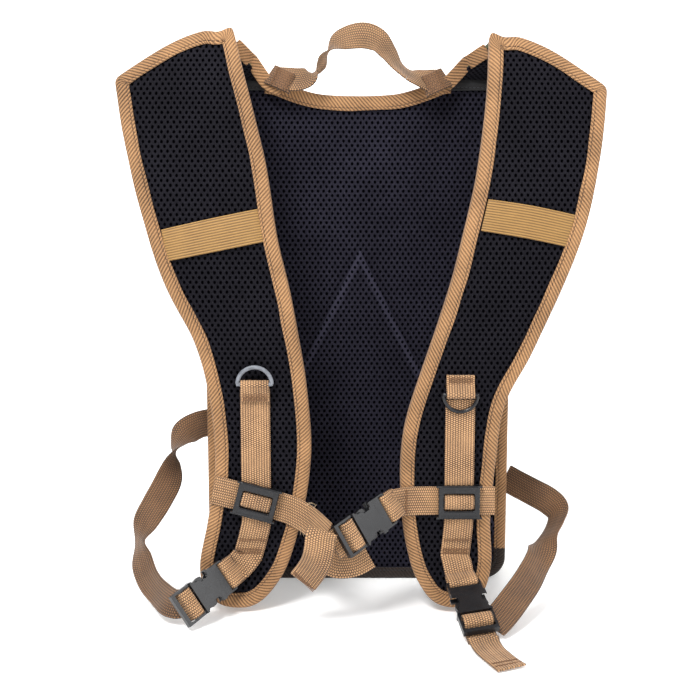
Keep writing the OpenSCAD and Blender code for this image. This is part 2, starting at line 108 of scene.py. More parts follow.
class Wire:
    """A number in a shader. Arithmetic on it adds Math nodes."""

    def __init__(self, tree, socket):
        self.tree = tree
        self.socket = socket

    def math(self, operation, *others):
        node = self.tree.nodes.new("ShaderNodeMath")
        node.operation = operation
        for place, value in enumerate((self,) + others):
            if isinstance(value, Wire):
                self.tree.links.new(value.socket, node.inputs[place])
            else:
                node.inputs[place].default_value = value
        return Wire(self.tree, node.outputs[0])

    def __add__(self, other):
        return self.math("ADD", other)

    def __sub__(self, other):
        return self.math("SUBTRACT", other)

    def __mul__(self, other):
        return self.math("MULTIPLY", other)

    def floor(self):
        return self.math("FLOOR")

    def wave(self, pitch):
        """From 0 to 1 and back over each pitch."""
        return (self * (math.tau / pitch)).math("COSINE") * -0.5 + 0.5

    def step(self, low, high):
        """Smooth from 0 at low to 1 at high."""
        node = self.tree.nodes.new("ShaderNodeMapRange")
        node.interpolation_type = "SMOOTHSTEP"
        node.inputs["From Min"].default_value = low
        node.inputs["From Max"].default_value = high
        self.tree.links.new(self.socket, node.inputs["Value"])
        return Wire(self.tree, node.outputs["Result"])


class Finish:
    """A material under construction: a Principled shader and what feeds it."""

    def __init__(self, name, roughness, sheen=0.0, specular=0.5, metallic=0.0):
        self.material = bpy.data.materials.new(name)
        self.material.use_nodes = True
        self.tree = self.material.node_tree
        self.shader = self.tree.nodes["Principled BSDF"]
        self.shader.inputs["Roughness"].default_value = roughness
        self.shader.inputs["Sheen Weight"].default_value = sheen
        self.shader.inputs["Specular IOR Level"].default_value = specular
        self.shader.inputs["Metallic"].default_value = metallic

    def uv(self):
        """The piece's own weave coordinates in millimetres, as two wires."""
        node = self.tree.nodes.new("ShaderNodeUVMap")
        node.uv_map = "weave"
        split = self.tree.nodes.new("ShaderNodeSeparateXYZ")
        self.tree.links.new(node.outputs["UV"], split.inputs[0])
        return [Wire(self.tree, split.outputs[k]) * 1000.0 for k in (0, 1)]

    def noise(self, per_metre, detail=2.0, distortion=0.0):
        place = self.tree.nodes.new("ShaderNodeTexCoord")
        node = self.tree.nodes.new("ShaderNodeTexNoise")
        node.inputs["Scale"].default_value = per_metre
        node.inputs["Detail"].default_value = detail
        node.inputs["Distortion"].default_value = distortion
        self.tree.links.new(place.outputs["Object"], node.inputs["Vector"])
        return Wire(self.tree, node.outputs["Fac"])

    def ramp(self, wire, stops, constant=False):
        node = self.tree.nodes.new("ShaderNodeValToRGB")
        node.color_ramp.interpolation = "CONSTANT" if constant else "LINEAR"
        stones = node.color_ramp.elements
        while len(stones) < len(stops):
            stones.new(0.5)
        for stone, (place, colour) in zip(stones, stops):
            stone.position = place
            stone.color = colour
        self.tree.links.new(wire.socket, node.inputs["Fac"])
        return node.outputs["Color"]

    def mix(self, factor, first, second):
        node = self.tree.nodes.new("ShaderNodeMix")
        node.data_type = "RGBA"
        self.tree.links.new(factor.socket, node.inputs["Factor"])
        self.tree.links.new(first, node.inputs[6])
        self.tree.links.new(second, node.inputs[7])
        return node.outputs[2]

    def done(self, colour, height=None, depth=0.3, strength=1.0):
        """Takes the colour, and bumps of height (0 to 1) times depth millimetres."""
        self.tree.links.new(colour, self.shader.inputs["Base Color"])
        if height is not None:
            node = self.tree.nodes.new("ShaderNodeBump")
            node.inputs["Strength"].default_value = strength
            node.inputs["Distance"].default_value = depth * MM
            self.tree.links.new(height.socket, node.inputs["Height"])
            self.tree.links.new(node.outputs["Normal"], self.shader.inputs["Normal"])
        return self.material


# ------------------------------------------------------------------ materials
HOLE_PITCH = 5.1
HOLE_ROW = 4.0
WEB_RIB = 1.7
WEB_COLUMN = 2.2
TWILL_PITCH = 3.3
TWILL_SLOPE = 0.85
TWILL_FOLD = 17.0
ELASTIC_RIB = 2.1
# the tip of the diamond sewn on the back panel, in x and z
DIAMOND_X, DIAMOND_TOP = 2.0, 309.0


def air_mesh(name, yarn, hole, sewn=False):
    """Knitted mesh with round holes; if sewn, a painted highlight just inside the diamond's
    seams.
    """
    finish = Finish(name, 0.72)
    u, v = finish.uv()
    row = (v * (1 / HOLE_ROW) + 0.5).floor()
    across = u * (1 / HOLE_PITCH) + row * 0.5
    du = (across - (across + 0.5).floor()) * HOLE_PITCH
    dv = (v - row * HOLE_ROW) * 0.78
    reach = (du * du + dv * dv).math("SQRT")
    knit = finish.noise(900, 1.0)
    open_hole = (reach + knit * 0.5).step(1.05, 1.7)
    strands = (u + v * 0.6).wave(0.9) * 0.5 + (u * -1.0 + v * 0.6).wave(0.9) * 0.5
    tone = strands * 0.5 + knit * 0.5 + finish.noise(22, 2.0) * 0.4
    if sewn:
        # painted highlight: a lighter band just inside the diamond's seams, where the raised
        # pad's edge faces the light
        inside = ((v * -1.0 + DIAMOND_TOP) * 0.5 - (u - DIAMOND_X).math("ABSOLUTE")) * 0.894
        tone = tone + (inside.step(0.2, 1.2) - inside.step(2.0, 9.0)) * 0.55
    faint = tuple(c * 0.35 for c in yarn[:3]) + (1,)
    bright = tuple(min(1, c * 2.2) for c in yarn[:3]) + (1,)
    lit = finish.ramp(tone, [(0.2, faint), (0.75, yarn), (1.0, bright)])
    dark = finish.ramp(knit, [(0, hole), (1, hole)])
    shine = open_hole * 0.05
    finish.tree.links.new(shine.socket, finish.shader.inputs["Specular IOR Level"])
    return finish.done(finish.mix(open_hole, dark, lit), open_hole + strands * 0.25, 0.5, 0.7)


def twill_tape(name, light, dark):
    """Edge tape: coarse slanted cords, which turn the other way past the fold."""
    finish = Finish(name, 0.78, sheen=0.1, specular=0.3)
    u, v = finish.uv()
    slant = (v - TWILL_FOLD).math("ABSOLUTE") * TWILL_SLOPE
    cord = (u + slant).wave(TWILL_PITCH)
    fine = (u * 0.9 - v * 1.1).wave(0.95)
    fibres = finish.noise(1300, 2.0)
    wear = finish.noise(26, 3.0)
    # painted shade: cord and fine make the tone darker in the grooves between the cords
    tone = cord * 0.36 + fine * 0.18 + fibres * 0.34 + wear * 0.46
    return finish.done(finish.ramp(tone, [(0.34, dark), (1.0, light)]),
                       cord * 0.6 + fine * 0.3 + fibres * 0.4, 0.4, 0.9)


def webbing(name, light, dark):
    finish = Finish(name, 0.72, sheen=0.15)
    u, v = finish.uv()
    column = (v * (1 / WEB_COLUMN)).floor()
    ribs = (u + column * (WEB_RIB / 2)).wave(WEB_RIB)
    sides = v.wave(WEB_COLUMN)
    fibres = finish.noise(1600, 2.0)
    wear = finish.noise(45, 2.0)
    height = ribs * 0.6 + sides * 0.45
    # painted shade in the weave's gaps and painted highlight on its ribs: the tone follows height
    tone = height * 0.66 + fibres * 0.22 + wear * 0.34
    return finish.done(finish.ramp(tone, [(0.46, dark), (0.86, light)]),
                       height + fibres * 0.2, 0.35, 1.0)


def ribbed_elastic(name, light, dark):
    finish = Finish(name, 0.6, sheen=0.1)
    u, v = finish.uv()
    ribs = v.wave(ELASTIC_RIB)
    fibres = u.wave(0.8) * 0.5 + finish.noise(1500) * 0.5
    # painted shade: the ribs make the tone darker between them
    tone = ribs * 0.6 + fibres * 0.25 + finish.noise(60) * 0.3
    return finish.done(finish.ramp(tone, [(0.2, dark), (0.75, light)]),
                       ribs + fibres * 0.2, 0.4, 0.8)


def camouflage(name):
    finish = Finish(name, 0.85, sheen=0.15)
    blots = finish.noise(17, 3.0, 0.6)
    patches = finish.noise(26, 2.0, 0.9)
    twigs = finish.noise(60, 3.0, 1.5)
    ground = finish.ramp(blots, [(0, srgb(62, 66, 40)), (0.46, srgb(104, 104, 66)),
                                 (0.56, srgb(142, 130, 92))], True)
    leaves = finish.ramp(patches, [(0, srgb(56, 44, 32)), (1, srgb(84, 66, 46))])
    marks = finish.ramp(twigs, [(0, srgb(34, 36, 28)), (1, srgb(34, 36, 28))])
    colour = finish.mix(patches.step(0.58, 0.6), ground, leaves)
    colour = finish.mix(twigs.step(0.63, 0.65), colour, marks)
    u, v = finish.uv()
    weave = u.wave(0.9) * 0.5 + v.wave(0.9) * 0.5
    return finish.done(colour, weave + finish.noise(400) * 0.4, 0.2, 0.6)


def plain_cloth(name, light, dark, pitch=0.9):
    finish = Finish(name, 0.8, sheen=0.1)
    u, v = finish.uv()
    weave = u.wave(pitch) * 0.5 + v.wave(pitch) * 0.5
    tone = weave * 0.6 + finish.noise(50, 3.0) * 0.5
    return finish.done(finish.ramp(tone, [(0.2, dark), (0.85, light)]), weave, 0.25, 0.7)


def moulded(name, light, dark, roughness):
    finish = Finish(name, roughness, specular=0.4)
    grain = finish.noise(3200, 2.0)
    scuffs = finish.noise(160, 4.0, 0.8)
    return finish.done(finish.ramp(scuffs, [(0.3, dark), (0.75, light)]),
                       grain + scuffs * 0.3, 0.02, 0.5)


def enamel(name, light, dark):
    finish = Finish(name, 0.38, metallic=0.6)
    scuffs = finish.noise(220, 4.0, 0.5)
    return finish.done(finish.ramp(scuffs, [(0.35, dark), (0.7, light)]), scuffs, 0.05, 0.5)


def thread(name, colour):
    finish = Finish(name, 0.6, sheen=0.1)
    twist = finish.noise(1500, 1.0)
    dark = tuple(c * 0.6 for c in colour[:3]) + (1,)
    return finish.done(finish.ramp(twist, [(0.3, dark), (0.7, colour)]), twist, 0.1, 0.6)


def floor_paint():
    finish = Finish("floor", 0.7, specular=0.15)
    finish.shader.inputs["Emission Color"].default_value = (1, 1, 1, 1)
    finish.shader.inputs["Emission Strength"].default_value = 0.2
    tone = finish.noise(3, 2.0)
    return finish.done(finish.ramp(tone, [(0, srgb(246, 246, 246)), (1, srgb(250, 250, 250))]))


def backdrop_paint():
    finish = Finish("backdrop", 0.9, specular=0.0)
    tone = finish.noise(1, 1.0)
    white = finish.ramp(tone, [(0, srgb(252, 252, 252)), (1, srgb(255, 255, 255))])
    finish.tree.links.new(white, finish.shader.inputs["Emission Color"])
    finish.shader.inputs["Emission Strength"].default_value = 1.0
    return finish.done(white)


MESH_STRAP = air_mesh("air_mesh_straps", srgb(22, 21, 26), srgb(1, 1, 2))
# the panel's mesh carries the painted highlight inside the diamond's seams
MESH_PANEL = air_mesh("air_mesh_panel", srgb(31, 30, 39), srgb(1, 1, 3), True)
BINDING = twill_tape("binding", srgb(198, 150, 104), srgb(42, 25, 13))
BINDING_DARK = twill_tape("binding_dark", srgb(52, 40, 34), srgb(16, 12, 10))
WEBBING = webbing("webbing", srgb(204, 158, 112), srgb(62, 39, 22))
# a darker copy of the webbing: painted shade, for the side webbings and the handle's sewn ends
WEBBING_SHADED = webbing("webbing_shaded", srgb(140, 100, 64), srgb(36, 22, 12))
# a darker copy of the webbing for the haul handle: painted shade
WEBBING_HANDLE_SHADED = webbing("webbing_handle_shaded", srgb(174, 132, 90), srgb(54, 34, 19))
ELASTIC = ribbed_elastic("elastic", srgb(160, 121, 62), srgb(88, 59, 24))
CAMO = camouflage("camouflage")
LINING = plain_cloth("lining", srgb(60, 60, 58), srgb(30, 30, 30))
BLACK_CLOTH = plain_cloth("black_cloth", srgb(16, 16, 20), srgb(6, 6, 8), 1.2)
ZIP_TAPE = plain_cloth("zip_tape", srgb(34, 34, 36), srgb(12, 12, 12), 1.2)
PLASTIC = moulded("plastic", srgb(30, 31, 34), srgb(17, 17, 20), 0.27)
PLASTIC_PALE = moulded("plastic_pale", srgb(134, 138, 146), srgb(96, 99, 106), 0.35)
ENAMEL = enamel("enamel", srgb(96, 96, 98), srgb(50, 50, 52))
THREAD = thread("thread", srgb(132, 92, 58))
# thread for the brown edge tapes' stitches, darker than the tapes: painted shade along the stitch
# line
THREAD_DARK = thread("thread_dark", srgb(70, 45, 26))
THREAD_BLACK = thread("thread_black", srgb(24, 24, 30))
THREAD_PALE = thread("thread_pale", srgb(206, 180, 146))

AIR = {"material": MESH_STRAP, "slot": "air_mesh"}
WEB = {"material": WEBBING, "slot": "webbing"}
# this and the next hold darker copies of the webbing: painted shade
SHADED_WEB = {"material": WEBBING_SHADED, "slot": "dark_webbing"}
HANDLE_SHADED_WEB = {"material": WEBBING_HANDLE_SHADED, "slot": "webbing"}
BOUND = {"material": BINDING, "slot": "binding_tape"}
CLOTH = {"material": CAMO, "slot": "camo_cloth"}
ZIP_CLOTH = {"material": ZIP_TAPE, "slot": "zip_tape"}
MOULDING = {"material": PLASTIC, "slot": "buckle_plastic"}
METAL = {"material": ENAMEL, "slot": "zip_metal"}


# ------------------------------------------------------------------ geometry tools
STITCH_PITCH = 3.6
TACK_GAP = 0.85
CAPSULE_SIDES = 6
ROUTE_STEPS = 8


def unit(v):
    v = np.asarray(v, float)
    return v / np.linalg.norm(v, axis=-1, keepdims=True)


def smooth(points, steps=24):
    """The curve through points, the same one that the CAD model uses."""
    p = np.asarray(points, float)
    p = np.vstack([p[:1], p, p[-1:]])
    t = np.linspace(0, 1, steps, endpoint=False)[:, None]
    runs = [0.5 * (2 * b + (c - a) * t + (2 * a - 5 * b + 4 * c - d) * t ** 2
                   + (3 * b - a - 3 * c + d) * t ** 3)
            for a, b, c, d in zip(p, p[1:], p[2:], p[3:])]
    return np.vstack(runs + [p[-1:]])


def far_along(points):
    """How far along a line each of its points is."""
    legs = np.linalg.norm(np.diff(points, axis=0), axis=1)
    return np.concatenate([[0], np.cumsum(legs)])


def left_of(line):
    """For each point of a closed [x, z] line, the unit vector to its left."""
    way = unit(np.roll(line, -1, axis=0) - np.roll(line, 1, axis=0))
    return np.stack([-way[:, 1], way[:, 0]], axis=1)


def joined(*columns):
    """Points from their columns, such as x, y and z, which may be numbers or grids."""
    return np.stack(np.broadcast_arrays(*columns), axis=-1)


def place_of(station):
    """The place of a route's station, in metres."""
    return Vector(station[:3]) * MM


def spaced(points, spacing, place_columns=3):
    """The same line with evenly spaced points, and how far along it each one is."""
    points = np.asarray(points, float)
    far = far_along(points[:, :place_columns])
    at = np.linspace(0, far[-1], max(3, int(round(far[-1] / spacing)) + 1))
    columns = [np.interp(at, far, points[:, k]) for k in range(points.shape[1])]
    return np.stack(columns, axis=1), at


def smooth_mesh(name, verts, faces):
    """A smooth-shaded mesh from points in millimetres."""
    mesh = bpy.data.meshes.new(name)
    mesh.from_pydata((verts * MM).tolist(), [], faces)
    mesh.polygons.foreach_set("use_smooth", np.ones(len(mesh.polygons), bool))
    return mesh


def build(name, verts, faces, uv=None, **kind):
    """A mesh object from points in millimetres. uv is in millimetres too."""
    mesh = smooth_mesh(name, verts, faces if isinstance(faces, list) else faces.tolist())
    if uv is not None:
        layer = mesh.uv_layers.new(name="weave")
        corner = np.empty(len(mesh.loops), np.int32)
        mesh.loops.foreach_get("vertex_index", corner)
        layer.data.foreach_set("uv", (uv * MM)[corner].astype(np.float32).ravel())
    work = bmesh.new()
    work.from_mesh(mesh)
    bmesh.ops.recalc_face_normals(work, faces=work.faces)
    work.to_mesh(mesh)
    work.free()
    return dress(put(name, mesh), **kind)


def dress(obj, material=None, body=None, slot=None, replaces=()):
    """Gives an object its material, the body it rides on and what it stands for. slot is not
    used.
    """
    if material is not None:
        obj.data.materials.clear()
        obj.data.materials.append(material)
    if body is not None:
        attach(obj, body)
    if replaces:
        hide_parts(*replaces)
    return obj


def grid_faces(rows, columns, wrap_rows=False, wrap_columns=False, first=0):
    """Quads over a grid of points that are numbered row by row."""
    r = np.arange(rows if wrap_rows else rows - 1)
    c = np.arange(columns if wrap_columns else columns - 1)
    r, c = np.meshgrid(r, c, indexing="ij")
    r1, c1 = (r + 1) % rows, (c + 1) % columns
    quads = np.stack([r * columns + c, r1 * columns + c, r1 * columns + c1, r * columns + c1],
                     axis=-1)
    return quads.reshape(-1, 4) + first


def sheet_faces(rows, columns, wrap_rows=False):
    """Faces of a closed sheet between two grids of points, of which the top is numbered first."""
    count = rows * columns
    number = np.arange(count).reshape(rows, columns)
    faces = [grid_faces(rows, columns, wrap_rows),
             grid_faces(rows, columns, wrap_rows, first=count)[:, ::-1]]
    borders = [(number[:, 0], wrap_rows), (number[::-1, -1], wrap_rows)]
    if not wrap_rows:
        borders += [(number[-1, :], False), (number[0, ::-1], False)]
    for line, closed in borders:
        a, b = (line, np.roll(line, -1)) if closed else (line[:-1], line[1:])
        faces.append(np.stack([a, a + count, b + count, b], axis=1))
    return np.vstack(faces)


def sheet(name, top, bottom, uv, wrap_rows=False, **kind):
    """A closed thick sheet between two grids of points, [rows, columns, 3]. uv is (u, v)."""
    verts = np.vstack([top.reshape(-1, 3), bottom.reshape(-1, 3)])
    flat = joined(*uv).reshape(-1, 2)
    return build(name, verts, sheet_faces(*top.shape[:2], wrap_rows), np.vstack([flat, flat]),
                 **kind)


def tube(name, rings, uv, closed=False, **kind):
    """A closed solid from rings of points, [rings, sides, 3]. uv is (u, v)."""
    count, sides = rings.shape[:2]
    faces = grid_faces(count, sides, closed, True).tolist()
    if not closed:
        faces.append(list(range(sides)))
        faces.append([(count - 1) * sides + k for k in range(sides)][::-1])
    return build(name, rings.reshape(-1, 3), faces, joined(*uv).reshape(-1, 2), **kind)


def fold_section(width, depth):
    """Outline of a tape folded over an edge: how far in, and how proud of the front face."""
    front = [(width, 0.1), (width + 0.15, 0.8), (width - 0.5, 1.5), (width - 1.6, 1.75),
             (width - 2.2, 1.2), (width - 2.8, 1.75), (width - 4, 2.0), (width - 5, 2.1),
             (width * 0.45, 2.1), (width * 0.32, 2.0), (2.4, 1.75), (1.3, 1.45), (0.4, 0.95),
             (-0.3, 0.2), (-0.7, -0.8)]
    back = [(a, -depth - d) for a, d in front[::-2]]
    inside = [(1.1, -depth + 0.2), (1.1, -0.2)]
    return np.array(front + [(-0.9, -depth / 2)] + back + inside)


def edge_inwards(edge, width, turn):
    """For each point of a closed [x, z] edge line, the vector that leads width inwards to a
    line that keeps clear of every other part of the edge, as a share of width."""
    inner = edge + turn * width * left_of(edge)
    apart = np.linalg.norm(inner[:, None, :] - edge[None, :, :], axis=2).min(axis=1)
    good = np.nonzero(apart > width * 0.96)[0]
    count = len(edge)
    good = np.concatenate([good - count, good, good + count])
    at = np.arange(count)
    inner = np.stack([np.interp(at, good, inner[good % count, k]) for k in (0, 1)], axis=1)
    return (inner - edge) / width


def tape(name, edge, inward, place, width, depth, closed=False, **kind):
    """A tape folded over an [x, z] edge line. place(x, z, proud) gives the points in space."""
    section = fold_section(width, depth)
    along, around = far_along(edge), far_along(section)
    slant = np.abs(around - TWILL_FOLD) * TWILL_SLOPE
    cords = np.cos(math.tau * (along[:, None] + slant[None, :]) / TWILL_PITCH)
    lift = 0.35 * wander(along, 0.06, 3)[:, None] - 0.2 * cords
    slack = 1 + 0.05 * wander(along, 0.045, 11)
    flat = edge[:, None, :] + inward[:, None, :] * (section[None, :, :1] * slack[:, None, None])
    up = section[None, :, 1]
    rings = place(flat[..., 0], flat[..., 1], up + lift * np.clip(up, 0, 1))
    return tube(name, rings, (along[:, None], around[None, :]), closed, **kind)


def tape_seam(name, edge, inward, place, width, **kind):
    """The stitches that hold a tape, 2 mm inside its lip."""
    flat = edge + inward * (width - 2.2)
    line = place(flat[:, 0], flat[:, 1], np.full(len(flat), 1.5))
    above = place(flat[:, 0], flat[:, 1], np.full(len(flat), 4.0))
    return seam(name, line, unit(above - line), **kind)


def wander(along, rate, seed):
    """Slow noise from -1 to 1 along a line."""
    return np.array([noise.noise(Vector((s * rate, seed * 7.7, 0.5))) for s in along])


def stitches(name, places, directions, ups, length, width=0.75, **kind):
    """Short rounded threads, one at each place, as one piece."""
    directions = unit(directions)
    ups = unit(ups - directions * np.sum(directions * ups, axis=1, keepdims=True))
    sides = np.cross(directions, ups)
    turn = np.linspace(0, math.tau, CAPSULE_SIDES, endpoint=False)
    rings = [(-0.5, 0.0), (-0.4, 0.75), (0.0, 1.0), (0.4, 0.75), (0.5, 0.0)]
    shape = [(a * length, 0, 0) if r == 0 else
             (a * length, r * width / 2 * math.cos(t), r * width / 2 * math.sin(t))
             for a, r in rings for t in (turn if r else turn[:1])]
    shape = np.array(shape)
    n = CAPSULE_SIDES
    faces = [[0, 1 + (k + 1) % n, 1 + k] for k in range(n)]
    for ring in range(2):
        s = 1 + ring * n
        faces += [[s + k, s + (k + 1) % n, s + n + (k + 1) % n, s + n + k] for k in range(n)]
    last = 1 + 3 * n
    faces += [[last, last - n + k, last - n + (k + 1) % n] for k in range(n)]
    verts = (places[:, None, :] + directions[:, None, :] * shape[None, :, :1]
             + sides[:, None, :] * shape[None, :, 1:2] + ups[:, None, :] * shape[None, :, 2:])
    every = [[i + j * len(shape) for i in face] for j in range(len(places)) for face in faces]
    return dress(put(name, smooth_mesh(name, verts.reshape(-1, 3), every)), **kind)


def seam(name, line, up, **kind):
    """A row of stitches along a line."""
    both = np.hstack([line, np.broadcast_to(up, line.shape)])
    points, _ = spaced(both, STITCH_PITCH)
    way = np.gradient(points[:, :3], axis=0)
    return stitches(name, points[:, :3], way, points[:, 3:], STITCH_PITCH * 0.72, **kind)


def ribbon_frame(route, spacing):
    """Centre, across and face directions along a ribbon through [x, y, z, ax, ay, az]."""
    route = np.array(route, float)
    route[:, 3:] = unit(route[:, 3:])
    points, along = spaced(smooth(route), spacing)
    centre, across = points[:, :3], unit(points[:, 3:])
    way = unit(np.gradient(centre, axis=0))
    across = unit(across - way * np.sum(across * way, axis=1, keepdims=True))
    return centre, across, np.cross(way, across), along


def ribbon(name, route, width=25.0, thick=1.5, bow=0.0, spacing=0.45, rib=0.16, before=0.0,
           **kind):
    """Webbing with woven ribs along a route of [x, y, z, ax, ay, az] stations."""
    centre, across, face, along = ribbon_frame(route, spacing)
    along = along + before
    v = np.linspace(-0.5, 0.5, 21)
    column = np.floor((v + 0.5) * width / WEB_COLUMN)
    ribs = rib * np.cos(math.tau * (along[:, None] / WEB_RIB + column[None, :] / 2))
    ribs = ribs + 0.1 * np.cos(math.tau * v[None, :] * width / WEB_COLUMN)
    body = thick / 2 * (1 - np.abs(2 * v) ** 12 * 0.45)
    bowed = bow * (1 - (2 * v) ** 2)
    middle = (centre[:, None, :] + across[:, None, :] * (v * width)[None, :, None]
              + face[:, None, :] * bowed[None, :, None])
    top = middle + face[:, None, :] * (body[None, :] + ribs)[:, :, None]
    bottom = middle - face[:, None, :] * (body[None, :] - ribs)[:, :, None]
    return sheet(name, top, bottom, (along[:, None], (v + 0.5) * width), **kind)


def ribbon_parts(names, route, stations, kinds, width=25.0):
    """One webbing cut at some of its stations into pieces that meet."""
    curve = smooth(route, ROUTE_STEPS)
    cuts = [0] + [round(station * ROUTE_STEPS) for station in stations] + [len(curve) - 1]
    parts, before = [], 0.0
    for name, kind, start, end in zip(names, kinds, cuts, cuts[1:]):
        run = curve[start:end + 1]
        parts.append(ribbon(name, run, width, before=before, **kind))
        before += np.linalg.norm(np.diff(run[:, :3], axis=0), axis=1).sum()
    return parts


def bar_tack(name, centre, across, way, up, width, long, body):
    """A dense block of short stitches across a webbing."""
    count = int(width / TACK_GAP)
    at = np.linspace(-width / 2, width / 2, count)
    places = np.array(centre, float) + unit(across) * at[:, None]
    return stitches(name, places, np.tile(unit(way), (count, 1)),
                    np.tile(unit(up), (count, 1)), long, 0.7, material=THREAD, body=body)


def socket_windows(name):
    """Blocks that open a socket's face over its two prongs, as (centre, half sizes, turn)."""
    place, turn = placement(name)
    return [(place + turn @ np.array((24.6, side * 13.0, 0)), (4.8, 3.4, 8), turn)
            for side in (-1, 1)]


def cut_blocks(obj, cuts):
    """Cuts blocks with rounded corners out of an object."""
    for centre, half, turn in cuts:
        block = bpy.data.meshes.new("block")
        work = bmesh.new()
        bmesh.ops.create_cube(work, size=2.0)
        upright = [e for e in work.edges if abs(e.verts[0].co.z - e.verts[1].co.z) > 1]
        for vert in work.verts:
            vert.co = Vector(np.array(vert.co) * np.array(half) * MM)
        bmesh.ops.bevel(work, geom=upright, offset=1.6 * MM, segments=5, affect="EDGES")
        matrix = Matrix(turn.tolist()).to_4x4()
        matrix.translation = Vector(centre) * MM
        work.transform(matrix)
        work.to_mesh(block)
        work.free()
        cutter = put("block", block)
        cut = obj.modifiers.new("cut", "BOOLEAN")
        cut.operation = "DIFFERENCE"
        cut.solver = "EXACT"
        cut.object = cutter
        apply_modifiers(obj)
        bpy.data.objects.remove(cutter)


def rounded(node, width, segments, cuts=(), **kind):
    """A copy of a moulded CAD piece with its edges rounded, which stands for it."""
    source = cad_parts[node]
    mesh = source.data.copy()
    work = bmesh.new()
    work.from_mesh(mesh)
    bmesh.ops.remove_doubles(work, verts=work.verts, dist=1e-6)
    bmesh.ops.dissolve_limit(work, angle_limit=math.radians(2), verts=work.verts,
                             edges=work.edges)
    work.to_mesh(mesh)
    work.free()
    obj = put(node + "_moulded", mesh)
    cut_blocks(obj, cuts)
    bevel = obj.modifiers.new("bevel", "BEVEL")
    bevel.width = width * MM
    bevel.segments = segments
    bevel.limit_method = "ANGLE"
    bevel.angle_limit = math.radians(35)
    bevel.harden_normals = False
    apply_modifiers(obj)
    obj.data.polygons.foreach_set("use_smooth", np.ones(len(obj.data.polygons), bool))
    weighted = obj.modifiers.new("normals", "WEIGHTED_NORMAL")
    weighted.keep_sharp = True
    apply_modifiers(obj)
    return dress(obj, replaces=(node,), **kind)


def apply_modifiers(obj):
    """Turns an object's modifiers into its mesh."""
    graph = bpy.context.evaluated_depsgraph_get()
    graph.update()
    mesh = bpy.data.meshes.new_from_object(obj.evaluated_get(graph))
    obj.modifiers.clear()
    obj.data = mesh


PUFF_PRESSURE, PUFF_VOXEL, PUFF_LIMIT, PUFF_FRAMES = 5.0, 5.0, 2.2, 20
RAY_REACH = 25.0


def puff(verts, faces, held):
    """Cloth simulation of a closed pad under inner pressure. held(points) says where its
    edge is sewn down. Returns a search tree over the puffed surface, in metres."""
    pad = build("puff", verts, faces)
    remesh = pad.modifiers.new("remesh", "REMESH")
    remesh.mode = "VOXEL"
    remesh.voxel_size = PUFF_VOXEL * MM
    apply_modifiers(pad)
    rest = np.array([v.co for v in pad.data.vertices])
    group = pad.vertex_groups.new(name="sewn")
    group.add(np.nonzero(held(rest / MM))[0].tolist(), 1.0, "REPLACE")
    cloth = pad.modifiers.new("cloth", "CLOTH")
    cloth.settings.use_pressure = True
    cloth.settings.uniform_pressure_force = PUFF_PRESSURE
    cloth.settings.effector_weights.gravity = 0
    cloth.settings.vertex_group_mass = "sewn"
    cloth.settings.quality = 5
    cloth.point_cache.frame_start = 1
    cloth.point_cache.frame_end = PUFF_FRAMES
    scene = bpy.context.scene
    for number in range(1, PUFF_FRAMES + 1):
        scene.frame_set(number)
    graph = bpy.context.evaluated_depsgraph_get()
    shaped = pad.evaluated_get(graph).to_mesh()
    moved = np.array([v.co for v in shaped.vertices]) - rest
    far = np.linalg.norm(moved, axis=1, keepdims=True)
    limit = PUFF_LIMIT * MM
    moved = moved * (limit * np.tanh(far / limit) / np.maximum(far, 1e-9))
    polygons = [list(p.vertices) for p in pad.data.polygons]
    tree = BVHTree.FromPolygons((rest + moved).tolist(), polygons)
    scene.frame_set(1)
    bpy.data.objects.remove(pad)
    return tree


def pressed(tree, places, ways):
    """How far out along ways each place's ray, which starts beyond it, finds the puffed
    surface."""
    found = np.full(len(places), np.nan)
    for k, (place, way) in enumerate(zip(places, ways)):
        start = Vector((place + way * RAY_REACH) * MM)
        hit = tree.ray_cast(start, Vector(-way), 2 * RAY_REACH * MM)
        if hit[0] is not None:
            found[k] = RAY_REACH - hit[3] / MM
    return found


def blur(grid, radius):
    """A box blur of a grid, which closes gaps in it too."""
    good = ~np.isnan(grid)
    value = np.where(good, grid, 0.0)
    weight = good.astype(float)
    for axis in (0, 1):
        for _ in range(2):
            value = running_sum(value, radius, axis)
            weight = running_sum(weight, radius, axis)
    return value / np.maximum(weight, 1e-9)


def running_sum(grid, radius, axis):
    """The sum of each place's neighbours within radius along one axis."""
    pad = [(0, 0), (0, 0)]
    pad[axis] = (radius + 1, radius)
    total = np.cumsum(np.pad(grid, pad, mode="edge"), axis=axis)
    size = grid.shape[axis]
    high = np.take(total, np.arange(size) + 2 * radius + 1, axis=axis)
    low = np.take(total, np.arange(size), axis=axis)
    return high - low


def hole_depth(x, z):
    """The air mesh's staggered holes: 1 in a hole's middle, 0 on the yarn."""
    row = np.floor(z / HOLE_ROW + 0.5)
    across = x / HOLE_PITCH + row * 0.5
    dx = (across - np.floor(across + 0.5)) * HOLE_PITCH
    dz = (z - row * HOLE_ROW) * 0.72
    reach = np.sqrt(dx * dx + dz * dz)
    t = np.clip((1.9 - reach) / 1.3, 0, 1)
    return t * t * (3 - 2 * t)


# ------------------------------------------------------------------ sizes shared with the CAD
PACK_W, PACK_H, PACK_D = 276.0, 458.0, 72.0
PANEL_BACK, SHELL_FRONT, BAG_WALL = 10.8, 11.1, 2.4
NECK_HALF, CORNER_R = 84.0, 20.0
FLAP_INSET, FLAP_Y, FLAP_T = 8.3, 72.3, 2.6
STRAP_REACH, STRAP_BACK, STRAP_LIP = 75.0, 10.8, 10.8
WEB_T, WEB_STAND = 1.6, 3.8
SLIDER_Z = 97.0
RING_STAND, RING_ARC = 7.4, 14.4

